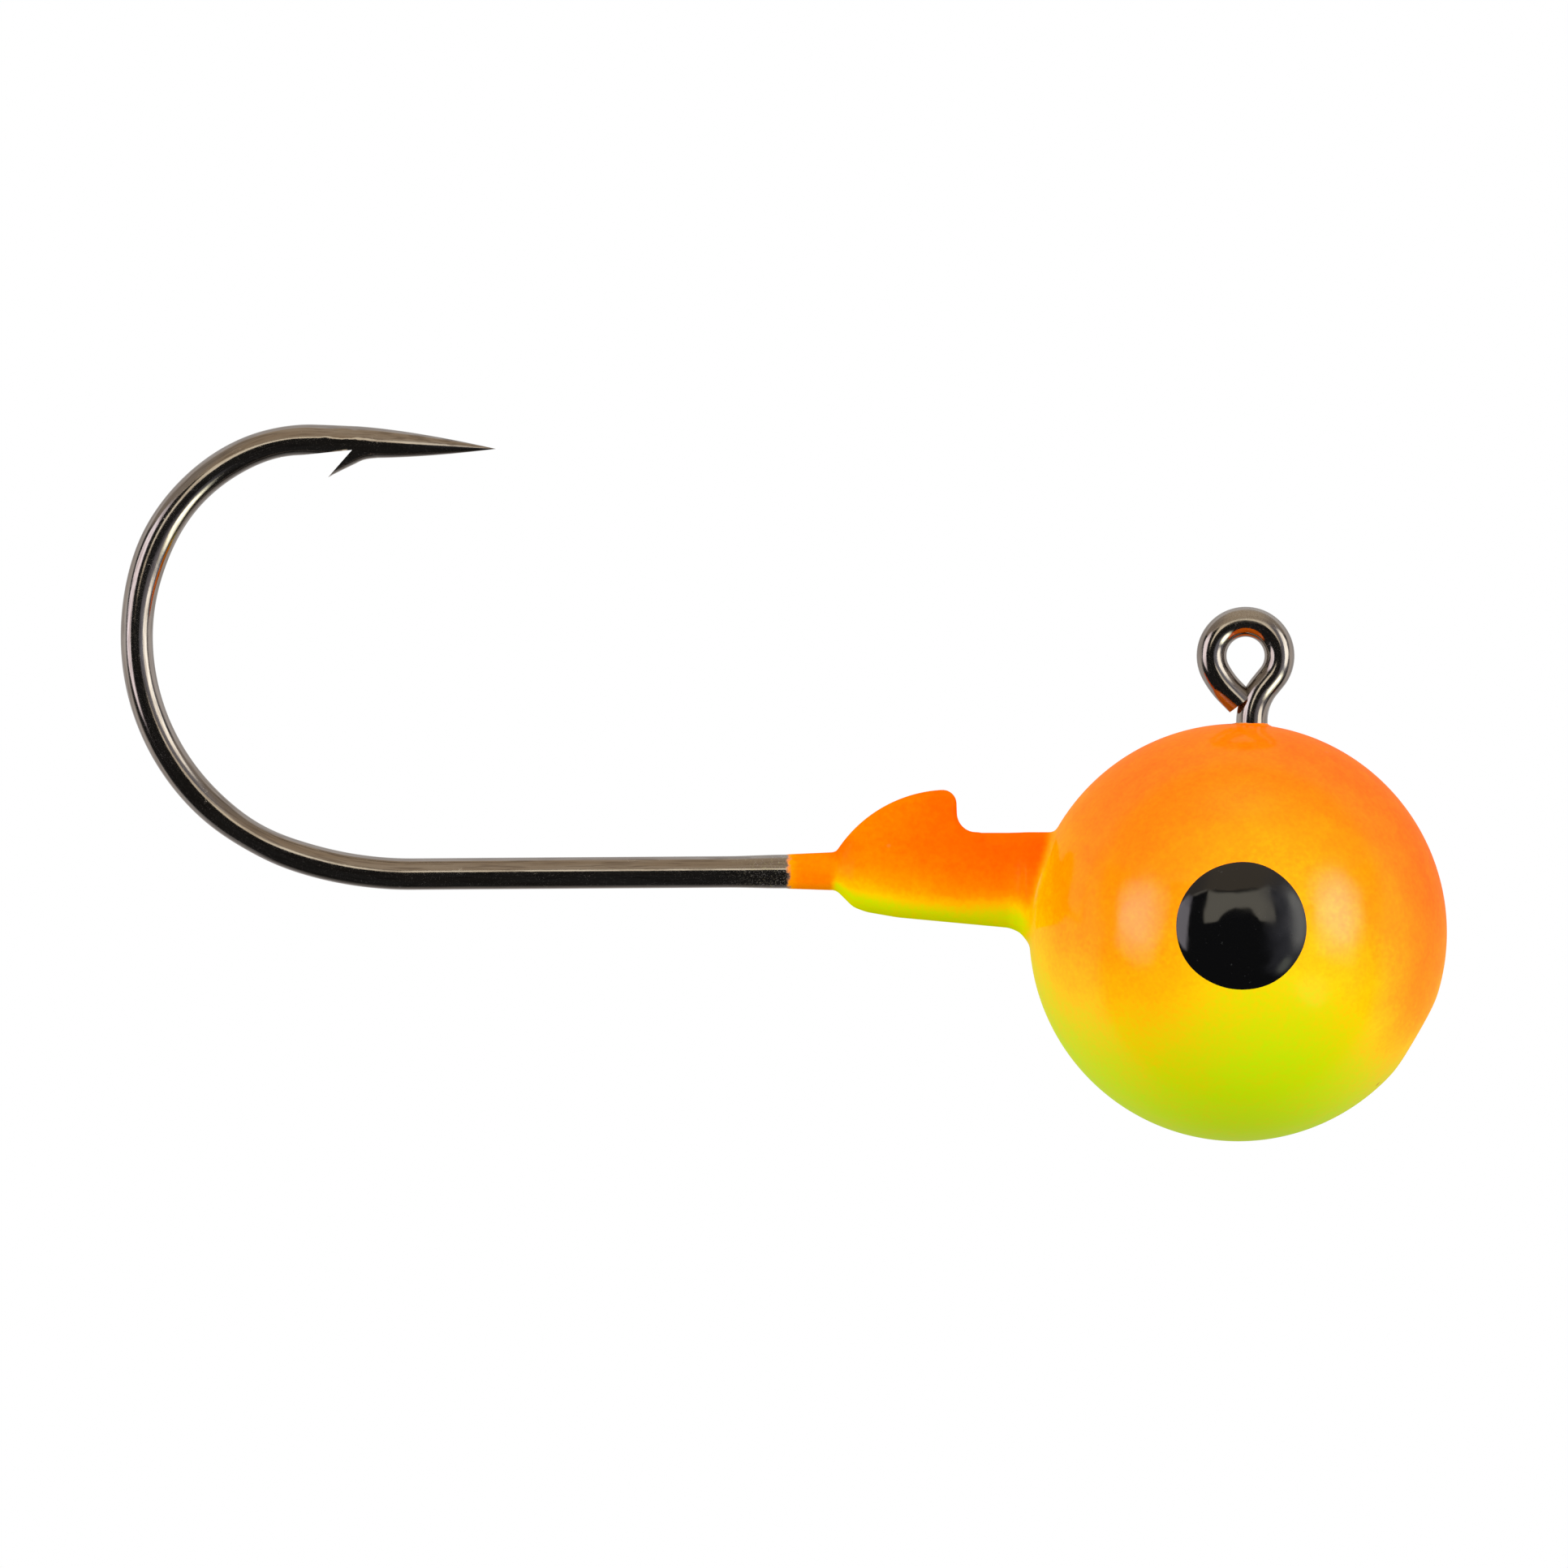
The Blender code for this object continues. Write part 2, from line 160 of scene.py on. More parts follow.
# Skin of paint, the space in it for the lead, and the bore for the wire
PAINT_THICKNESS = 0.12
PAINT_VOXEL = 0.10
PAINT_TAIL_X = -15.3
CORE_VOXEL = 0.2
CORE_TAIL_X = -12.70
SKIN_RELAXINGS = 4
SKIN_RELAXING_SHARE = 0.6
BLANK_SIDES = 32
COLLAR_BLANK_END_X = -4.0
FIN_BLANK_INSET = 0.03
NECK_BLANK_DEPTH = 0.5
BORE_START = 0.2
BORE_END_X = -16.2
BORE_STEP = 0.25
BORE_OVERLAP = 0.012

# Eyes. The outline's waves are (how many, height), and the underside's rings are shares of its radius.
EYE_CENTRE = (0.04, 0.233)
EYE_HALF_WIDTH = 2.108
EYE_HALF_HEIGHT = 2.068
EYE_THICKNESS = 0.12
EYE_SINK = 0.02
EYE_SEGMENTS = 96
EYE_RINGS = 26
EYE_WAVES = ((3, 0.010), (5, 0.006), (8, 0.003))
EYE_RIM_POWER = 6
EYE_MIDDLE = 0.06
EYE_UNDERSIDE = (0.97, 0.6, 0.2)


# ---------------- meshes


def make_object(name, points, faces):
    """A mesh object from points in millimetres, with its faces turned to point out."""
    mesh = bpy.data.meshes.new(name)
    mesh.from_pydata((np.asarray(points, float) * METRES).tolist(), [], faces)
    shape = bmesh.new()
    shape.from_mesh(mesh)
    bmesh.ops.recalc_face_normals(shape, faces=shape.faces)
    shape.to_mesh(mesh)
    shape.free()
    mesh.shade_smooth()
    mesh.set_sharp_from_angle(angle=math.radians(SMOOTH_ANGLE))
    item = bpy.data.objects.new(name, mesh)
    bpy.context.scene.collection.objects.link(item)
    return item


def places(item):
    """The places of an object's points, in millimetres."""
    co = np.zeros(len(item.data.vertices) * 3)
    item.data.vertices.foreach_get("co", co)
    return co.reshape(-1, 3) / METRES


def add_boolean(item, other, operation):
    modifier = item.modifiers.new(operation.lower(), "BOOLEAN")
    modifier.operation = operation
    modifier.solver = "EXACT"
    modifier.object = other


def settle(item, helpers=(), sharp=SMOOTH_ANGLE):
    """Applies the modifiers of an object, and removes the helpers that they used."""
    bpy.context.view_layer.update()
    graph = bpy.context.evaluated_depsgraph_get()
    mesh = bpy.data.meshes.new_from_object(item.evaluated_get(graph))
    old = item.data
    item.modifiers.clear()
    item.data = mesh
    bpy.data.meshes.remove(old)
    mesh.name = item.name
    mesh.shade_smooth()
    mesh.set_sharp_from_angle(angle=math.radians(sharp))
    for helper in helpers:
        bpy.data.objects.remove(helper, do_unlink=True)
    return item


def bridge_rings(rings, first_cap=True, last_cap=True):
    """Points and faces of a skin over rings of equal count."""
    count = len(rings[0])
    points = [p for ring in rings for p in ring]
    faces = []
    for i in range(len(rings) - 1):
        for j in range(count):
            k = (j + 1) % count
            faces.append((i * count + j, i * count + k, (i + 1) * count + k, (i + 1) * count + j))
    if first_cap:
        faces.append(tuple(range(count)))
    if last_cap:
        faces.append(tuple(range(len(points) - count, len(points))))
    return points, faces


def close_with_fan(points, faces, first, count, centre):
    """Closes the ring of points that starts at first with a fan round a new centre point."""
    points.append(centre)
    for j in range(count):
        faces.append((first + j, first + (j + 1) % count, len(points) - 1))


# ---------------- the wire's path


def straight(length):
    return length, 0.0


def circle(count):
    """Angles round a circle."""
    return np.linspace(0, 2 * math.pi, count, endpoint=False)


def unit(degrees):
    """A unit vector in the hook's plane, as x and z."""
    return np.array((math.cos(math.radians(degrees)), math.sin(math.radians(degrees))))


def bend(radius, degrees):
    """An arc. A positive angle turns left."""
    return radius * math.radians(abs(degrees)), math.radians(degrees)


def advance(x, z, heading, length, curvature):
    if abs(curvature) < 1e-9:
        return x + length * math.cos(heading), z + length * math.sin(heading), heading
    turned = heading + curvature * length
    x += (math.sin(turned) - math.sin(heading)) / curvature
    z -= (math.cos(turned) - math.cos(heading)) / curvature
    return x, z, turned


def trace(start, heading, stretches):
    """Each stretch as (distance of its start, x, z, heading, length, curvature)."""
    x, z = start
    distance = 0.0
    rows = []
    for length, turn in stretches:
        curvature = turn / length
        rows.append((distance, x, z, heading, length, curvature))
        x, z, heading = advance(x, z, heading, length, curvature)
        distance += length
    return rows


def path_at(rows, distance):
    row = [r for r in rows if r[0] <= distance + 1e-9][-1]
    return advance(row[1], row[2], row[3], distance - row[0], row[5])


def wire_path():
    """The wire's centreline, from the cut end of the ring to the point of the hook."""
    joint = math.radians(RING_LEG_ANGLE)
    leg_length, leg_turn = bend(LEG_BEND_RADIUS, LEG_BEND_TURN)
    on_ring = (RING_RADIUS * math.cos(joint), RING_RADIUS * math.sin(joint))
    x, z, away = advance(*on_ring, joint + math.pi / 2, leg_length, leg_turn / leg_length)

    slope = math.radians(RING_NECK_ANGLE - 90)
    sideways = NECK_BEND_RADIUS * (-1 - math.sin(slope))
    slant = (NECK_X - RING_RADIUS * math.cos(math.radians(RING_NECK_ANGLE)) - sideways) / math.cos(slope)
    stretches = [
        bend(LEG_BEND_RADIUS, -LEG_BEND_TURN),
        bend(RING_RADIUS, RING_NECK_ANGLE - RING_LEG_ANGLE),
        straight(slant),
        bend(NECK_BEND_RADIUS, -RING_NECK_ANGLE),
        straight(NECK_LENGTH),
        bend(ELBOW_RADIUS, SHANK_TILT - 90),
        straight(SHANK_LENGTH),
    ]
    stretches += [bend(radius, -turn) for radius, turn in HOOK_BENDS]
    stretches.append(straight(SPEAR_LENGTH))
    return trace((x, z), away - math.pi, stretches)


WIRE = wire_path()
WIRE_LENGTH = WIRE[-1][0] + WIRE[-1][4]


def shank_distance(x):
    """How far along the wire the shank passes x."""
    return WIRE[SHANK][0] + WIRE[SHANK][1] - x


def shank_z(x):
    """Height of the shank's centreline."""
    return path_at(WIRE, shank_distance(x))[1]


def wire_radii(distance):
    """Half widths of the wire in the hook's plane and across it."""
    from_point = (WIRE_LENGTH - distance) / POINT_LENGTH
    if from_point < 1:
        radius = WIRE_RADIUS * (1 - (1 - from_point) ** POINT_FULLNESS)
    else:
        along_neck = min(max((distance - WIRE[NECK_BEND][0]) / WIRE[NECK_BEND][4], 0), 1)
        radius = RING_WIRE_RADIUS + (WIRE_RADIUS - RING_WIRE_RADIUS) * along_neck
    if WIRE[SHANK][0] < distance < WIRE[BEND][0]:
        x = path_at(WIRE, distance)[0]
        radius += LACQUER_THICKNESS * smooth_step(*LACQUER_RISE, x) * smooth_step(*LACQUER_FADE, x)
    if distance < WIRE[BEND][0]:
        return radius, radius
    x, z, _ = path_at(WIRE, distance)
    angle = math.degrees(math.atan2(z - BEND_MIDDLE[1], x - BEND_MIDDLE[0])) % 360
    swell = sum(change * math.exp(-(((angle - at) / spread) ** 2)) for at, spread, change in BEND_SWELLS)
    wider = 1 + swell / WIRE_RADIUS
    return radius * wider, radius / wider


def wire_ring(distance, sides=WIRE_SIDES, grow=0.0):
    x, z, heading = path_at(WIRE, distance)
    in_plane, across = wire_radii(distance)
    angle = circle(sides)
    out = (in_plane + grow) * np.cos(angle)
    side = (across + grow) * np.sin(angle)
    return np.stack((x - out * math.sin(heading), side, z + out * math.cos(heading)), axis=1)


# ---------------- hook


def sheared_leg_end(start):
    """The ring's last circle of points, each run on along the leg until it meets the cut or the neck."""
    first, last = WIRE[SLANT][0], WIRE[ELBOW][0]
    neck = np.array([path_at(WIRE, d)[:2] for d in np.linspace(first, last, 120)])
    cut = unit(LEG_CUT_ANGLE)
    heading = path_at(WIRE, start)[2] + math.pi
    along = np.array((math.cos(heading), 0.0, math.sin(heading)))
    limit = RING_WIRE_RADIUS + LEG_TO_NECK_GAP
    ends = []
    for point in wire_ring(start):
        runs = np.linspace(0, start + LEG_RUN_SPARE, 400)
        moved = point + runs[:, None] * along
        past_cut = (moved[:, (0, 2)] - np.array(LEG_CUT_CORNER)) @ cut > 0
        apart = moved[:, None, (0, 2)] - neck[None]
        near_neck = (apart**2).sum(2).min(1) + moved[:, 1] ** 2 < limit**2
        stopped = np.flatnonzero(past_cut | near_neck)
        ends.append(moved[max(stopped[0] - 1, 0)] if len(stopped) else moved[-1])
    return np.array(ends)


def smooth_through(corners, steps):
    """A smooth open curve through the corners (Catmull-Rom)."""
    corners = np.asarray(corners, float)
    padded = np.vstack((2 * corners[0] - corners[1], corners, 2 * corners[-1] - corners[-2]))
    curve = []
    for a, b, c, d in zip(padded, padded[1:], padded[2:], padded[3:]):
        for t in np.linspace(0, 1, steps, endpoint=False):
            cubic = 2 * a - 5 * b + 4 * c - d + t * (3 * (b - c) + d - a)
            curve.append(b + 0.5 * t * (c - a + t * cubic))
    curve.append(corners[-1])
    return np.array(curve)


def spear_back(x):
    """Height of the spear's back at each x."""
    stations = np.linspace(WIRE[-1][0], WIRE_LENGTH, 80)
    line = [(*path_at(WIRE, d), wire_radii(d)[0]) for d in stations]
    back = np.array([(px - r * math.sin(h), pz + r * math.cos(h)) for px, pz, h, r in line])
    return np.interp(x, back[:, 0], back[:, 1])


def make_barb_chip():
    """The chip before it is cut free: a round bar whose underside runs through the barb's tip."""
    edge = smooth_through(BARB_UNDERSIDE, 8)
    slope = np.gradient(edge, axis=0)
    slope /= np.linalg.norm(slope, axis=1)[:, None]
    up = np.stack((-slope[:, 1], slope[:, 0]), axis=1)
    backs = spear_back(edge[:, 0])
    rings = []
    for corner, lift, back in zip(edge, up, backs):
        radius = min(BARB_SECTION_RADIUS, (back - corner[1]) / 2 * BARB_UNDER_BACK)
        ring = []
        for angle in circle(WIRE_SIDES):
            at = corner + lift * radius * (1 - math.cos(angle))
            ring.append((at[0], radius * math.sin(angle), at[1]))
        rings.append(ring)
    return make_object("barb_chip", *bridge_rings(rings))


def make_barb_cut():
    """The wedge that the chisel opened between the spear's flat and the barb."""
    apex, tip, flat = (np.array((c[0], 0.0, c[1])) for c in (BARB_APEX, BARB_TIP, CUT_START))
    outline = [apex, apex + (tip - apex) * CUT_PAST_TIP, apex + (flat - apex) * CUT_PAST_FLAT]
    half = np.array((0.0, CUT_HALF_WIDTH, 0.0))
    rings = [[p - half for p in outline], [p + half for p in outline]]
    return make_object("barb_cut", *bridge_rings(rings))


def make_hook():
    end = sheared_leg_end(LEG_RUN_START)
    middle = end.mean(axis=0)
    face = middle + (end - middle) * LEG_FACE_SHARE + LEG_FACE_LIFT
    stations = np.linspace(LEG_RUN_START, WIRE_LENGTH - POINT_BLUNTNESS, int(WIRE_LENGTH / WIRE_STEP))
    rings = [face, end] + [wire_ring(d) for d in stations[1:]]
    points, faces = bridge_rings(rings, first_cap=False, last_cap=False)
    close_with_fan(points, faces, len(points) - WIRE_SIDES, WIRE_SIDES, rings[-1].mean(axis=0))
    close_with_fan(points, faces, 0, WIRE_SIDES, middle)
    hook = make_object("jig_hook", points, faces)
    chip, cut = make_barb_chip(), make_barb_cut()
    add_boolean(hook, chip, "UNION")
    add_boolean(hook, cut, "DIFFERENCE")
    return settle(hook, (chip, cut), sharp=30.0)


# ---------------- paint: distance fields


def smooth_min(a, b, width):
    """The union of two distances, with a fillet about as wide as width."""
    share = np.maximum(width - np.abs(a - b), 0) / width
    return np.minimum(a, b) - share * share * width / 4


def smooth_step(low, high, value):
    share = np.clip((value - low) / (high - low), 0, 1)
    return share * share * (3 - 2 * share)


def ball_distance(p):
    """The ball, with the faint ridge where its mould parted and the flat of its gate."""
    away = p - BALL
    round_part = np.linalg.norm(away, axis=1) - BALL_RADIUS
    ridge = RIDGE_HEIGHT * np.exp(-((p[:, 1] / RIDGE_HALF_WIDTH) ** 2))
    gate_x, gate_z = unit(GATE_ANGLE)
    flat_part = away @ np.array((gate_x, 0, gate_z)) - (BALL_RADIUS - GATE_DEPTH)
    return -smooth_min(-(round_part - ridge), -flat_part, GATE_BLEND)


def collar_sections():
    """Sleeve and collar as rows of (x, top, bottom, half width, power of the rounded section)."""
    rows = [(x, shank_z(x) + r, shank_z(x) - r, r, ROUND_POWER) for x, r in SLEEVE]
    rows += [(*row, ROUND_POWER if row is COLLAR[0] else COLLAR_POWER) for row in COLLAR]
    return np.array(rows)


def collar_distance(p, sections=collar_sections()):
    """A tube of rounded sections, from the sleeve's end to inside the ball."""
    columns = []
    for column in range(1, 5):
        shifted = [np.interp(p[:, 0] + s, sections[:, 0], sections[:, column]) for s in COLLAR_SOFTENING]
        columns.append(sum(shifted) / len(COLLAR_SOFTENING))
    top, bottom, half, power = columns
    high = (top - bottom) / 2
    across = np.abs(p[:, 1]) / half + 1e-9
    up = np.abs(p[:, 2] - (top + bottom) / 2) / high + 1e-9
    size = (across**power + up**power) ** (1 / power)
    slope = np.hypot((across / size) ** (power - 1) / half, (up / size) ** (power - 1) / high)
    section = (size - 1) / slope
    return np.maximum(section, np.maximum(sections[0, 0] - p[:, 0], p[:, 0] - sections[-1, 0]))


def fin_outline(inset=FIN_ROUNDING):
    """The fin's side view, moved in by inset."""
    stretches = [
        bend(FIN_BACK_RADIUS, -(FIN_HEADING - FIN_TOP_SLOPE)),
        bend(FIN_NOSE_RADIUS, -FIN_NOSE_TURN),
        straight(FIN_FACE_LENGTH),
        bend(FIN_FOOT_RADIUS, FIN_NOSE_TURN - FIN_TOP_SLOPE),
    ]
    rows = trace(FIN_START, math.radians(FIN_HEADING), stretches)
    outline = []
    for row, count in zip(rows, (70, 36, 2, 30)):
        for i in range(count + (row is rows[-1])):
            x, z, heading = path_at(rows, row[0] + row[4] * i / count * 0.9999)
            outline.append((x + inset * math.sin(heading), z - inset * math.cos(heading)))
    outline.append((outline[-1][0], FIN_FLOOR_Z))
    outline.append((outline[0][0] + FIN_HEEL, FIN_FLOOR_Z))
    return np.array(outline)


def flat_distance(q, outline):
    """Signed distance of flat points to a closed outline, negative inside."""
    nearest = np.full(len(q), 1e9)
    inside = np.zeros(len(q), bool)
    for a, b in zip(outline, np.roll(outline, -1, axis=0)):
        side = b - a
        share = np.clip(((q - a) @ side) / (side @ side), 0, 1)
        gap = q - a - share[:, None] * side
        nearest = np.minimum(nearest, (gap**2).sum(1))
        crosses = (a[1] > q[:, 1]) != (b[1] > q[:, 1])
        if side[1] != 0:
            inside ^= crosses & (q[:, 0] < side[0] * (q[:, 1] - a[1]) / side[1] + a[0])
    return np.sqrt(nearest) * np.where(inside, -1, 1)


def fin_distance(p, outline=fin_outline()):
    """The fin, a rounded plate that is thicker at its foot. Points well away from it get far."""
    far, margin, reach = 5.0, 1.0, 2.2
    distance = np.full(len(p), far)
    low, high = outline.min(0) - margin, outline.max(0) + margin
    q = p[:, (0, 2)]
    near = ((q > low) & (q < high)).all(1) & (np.abs(p[:, 1]) < reach)
    draft = np.clip((FIN_TOP_Z - p[near, 2]) / (FIN_TOP_Z - FIN_FLOOR_Z), -0.5, 1.2)
    half = FIN_TOP_HALF + (FIN_FLOOR_HALF - FIN_TOP_HALF) * draft
    half = half * np.interp(p[near, 0], FIN_TAPER_X, FIN_TAPER)
    flat = flat_distance(q[near], outline)
    side = np.abs(p[near, 1]) - (half - FIN_ROUNDING)
    outer = np.hypot(np.maximum(flat, 0), np.maximum(side, 0))
    distance[near] = outer + np.minimum(np.maximum(flat, side), 0) - FIN_ROUNDING
    return distance


def neck_distance(p):
    """The low edge of paint that creeps up the neck of wire from the ball."""
    height = p[:, 2] - (BALL[2] + BALL_RADIUS)
    across = np.hypot(p[:, 0] - NECK_X, p[:, 1]) - NECK_FILM_RADIUS
    return np.maximum(across, np.maximum(height - NECK_FILM_HEIGHT, -NECK_FILM_DEPTH - height))


def paint_distance(p):
    """Distance to the painted surface, negative inside."""
    keeper = smooth_min(collar_distance(p), fin_distance(p), KEEPER_BLEND)
    fillet = BALL_BLEND + BALL_BLEND_MORE_BELOW * smooth_step(-5.6, -8.2, p[:, 2])
    whole = smooth_min(ball_distance(p), keeper, fillet)
    return smooth_min(whole, neck_distance(p), NECK_BLEND)


def gradient(field, p, step=0.006):
    slopes = []
    for axis in range(3):
        shift = np.zeros(3)
        shift[axis] = step
        slopes.append((field(p + shift) - field(p - shift)) / (2 * step))
    return np.stack(slopes, axis=1)


def pull_to_level(field, p, level, rounds=4):
    """Moves points along the field's slope until they lie on the surface at that level."""
    least_slope = 0.2
    for _ in range(rounds):
        slope = gradient(field, p)
        off = field(p) - level
        p = p - slope * (off / np.maximum((slope**2).sum(1), least_slope))[:, None]
    return p


# ---------------- paint: meshes


def collar_blank(inset, tail_x):
    """A rough tube inside the collar's own surface, for the first mesh."""
    sections = collar_sections()
    angle = circle(BLANK_SIDES)
    rings = []
    for x in np.linspace(tail_x, COLLAR_BLANK_END_X, 60):
        top, bottom, half = (np.interp(x, sections[:, 0], sections[:, c]) for c in (1, 2, 3))
        side = (half - inset) * np.sin(angle)
        up = (top + bottom) / 2 + ((top - bottom) / 2 - inset) * np.cos(angle)
        rings.append(np.stack((np.full(BLANK_SIDES, x), side, up), axis=1))
    return make_object("collar_blank", *bridge_rings(rings))


def fin_blank(inset):
    outline = fin_outline(inset + FIN_BLANK_INSET)
    half = FIN_TOP_HALF - inset
    rings = [[(x, side, z) for x, z in outline] for side in (-half, half)]
    return make_object("fin_blank", *bridge_rings(rings))


def ball_blank(inset):
    shape = bmesh.new()
    bmesh.ops.create_uvsphere(shape, u_segments=96, v_segments=48, radius=BALL_RADIUS - inset)
    points = [np.array(v.co) + BALL for v in shape.verts]
    faces = [[v.index for v in face.verts] for face in shape.faces]
    shape.free()
    return make_object("ball_blank", points, faces)


def neck_blank():
    angle = circle(BLANK_SIDES)
    out, side = NECK_FILM_RADIUS * np.cos(angle), NECK_FILM_RADIUS * np.sin(angle)
    top = BALL[2] + BALL_RADIUS
    rings = [
        np.stack((NECK_X + out, side, np.full(BLANK_SIDES, z)), axis=1)
        for z in (top - NECK_BLANK_DEPTH, top + NECK_FILM_HEIGHT)
    ]
    return make_object("neck_blank", *bridge_rings(rings))


def even_out(mesh, p):
    """Moves each vertex most of the way to the middle of its neighbours."""
    ends = np.zeros(len(mesh.edges) * 2, int)
    mesh.edges.foreach_get("vertices", ends)
    ends = ends.reshape(-1, 2)
    total = np.zeros_like(p)
    np.add.at(total, ends[:, 0], p[ends[:, 1]])
    np.add.at(total, ends[:, 1], p[ends[:, 0]])
    count = np.bincount(ends.ravel(), minlength=len(p))
    return p + SKIN_RELAXING_SHARE * (total / np.maximum(count, 1)[:, None] - p)


def skin(name, depth, voxel, tail_x, is_core=False):
    """A closed, even mesh at a depth under the painted surface. The core's tail is flat."""
    blanks = [ball_blank(depth), collar_blank(depth, tail_x), fin_blank(depth)]
    if not is_core:
        blanks.append(neck_blank())
    points = []
    faces = []
    for blank in blanks:
        start = len(points)
        points += list(places(blank))
        faces += [[start + i for i in face.vertices] for face in blank.data.polygons]
        bpy.data.objects.remove(blank, do_unlink=True)
    item = make_object(name, points, faces)
    remesh = item.modifiers.new("remesh", "REMESH")
    remesh.mode = "VOXEL"
    remesh.voxel_size = voxel * METRES
    settle(item)
    p = pull_to_level(paint_distance, places(item), -depth)
    for _ in range(SKIN_RELAXINGS):
        p = pull_to_level(paint_distance, even_out(item.data, p), -depth, rounds=2)
    if is_core:
        p[:, 0] = np.maximum(p[:, 0], tail_x)
    item.data.vertices.foreach_set("co", (p * METRES).astype(np.float32).ravel())
    item.data.update()
    return item


def make_bore():
    """The space that the wire takes in the paint, a hair inside the wire's own surface."""
    stations = np.arange(WIRE[NECK_BEND][0] + BORE_START, shank_distance(BORE_END_X), BORE_STEP)
    rings = [wire_ring(d, BLANK_SIDES, -BORE_OVERLAP) for d in stations]
    return make_object("bore", *bridge_rings(rings))


def make_paint():
    paint = skin("paint_skin", 0.0, PAINT_VOXEL, PAINT_TAIL_X)
    core = skin("paint_core", PAINT_THICKNESS, CORE_VOXEL, CORE_TAIL_X, is_core=True)
    bore = make_bore()
    add_boolean(paint, core, "DIFFERENCE")
    add_boolean(paint, bore, "DIFFERENCE")
    return settle(paint, (core, bore), sharp=50.0)


# ---------------- eyes


def make_eye(name, side, seed):
    """A dot of enamel: thin, a little uneven in outline, with a rounded rim, closed underneath."""
    turns = circle(EYE_SEGMENTS)
    rng = np.random.default_rng(seed)
    outline = 1 / np.hypot(np.cos(turns) / EYE_HALF_WIDTH, np.sin(turns) / EYE_HALF_HEIGHT)
    for waves, size in EYE_WAVES:
        outline += size * np.cos(waves * turns + rng.uniform(0, 2 * math.pi))
    reach = outline / BALL_RADIUS
    shares = np.sin(np.linspace(EYE_MIDDLE, 1, EYE_RINGS) * math.pi / 2)
    floor, high = BALL_RADIUS - EYE_SINK, EYE_THICKNESS + EYE_SINK
    profile = [(s, floor + high * (1 - s**EYE_RIM_POWER)) for s in shares]
    profile += [(s, floor) for s in EYE_UNDERSIDE]
    rings = []
    for share, radius in profile:
        angle = np.arcsin(reach * share)
        flat = radius * np.sin(angle)
        rings.append(np.stack((flat * np.cos(turns), flat * np.sin(turns), radius * np.cos(angle)), axis=1))
    points, faces = bridge_rings(rings, first_cap=False, last_cap=False)
    close_with_fan(points, faces, len(points) - EYE_SEGMENTS, EYE_SEGMENTS, np.array((0, 0, floor)))
    close_with_fan(points, faces, 0, EYE_SEGMENTS, np.array((0, 0, BALL_RADIUS + EYE_THICKNESS)))
    depth = math.sqrt(BALL_RADIUS**2 - EYE_CENTRE[0] ** 2 - EYE_CENTRE[1] ** 2)
    out = Vector((EYE_CENTRE[0], side * depth, EYE_CENTRE[1]))
    turn = np.array(out.to_track_quat("Z", "Y").to_matrix())
    return make_object(name, np.array(points) @ turn.T + BALL, faces)


# ---------------- materials


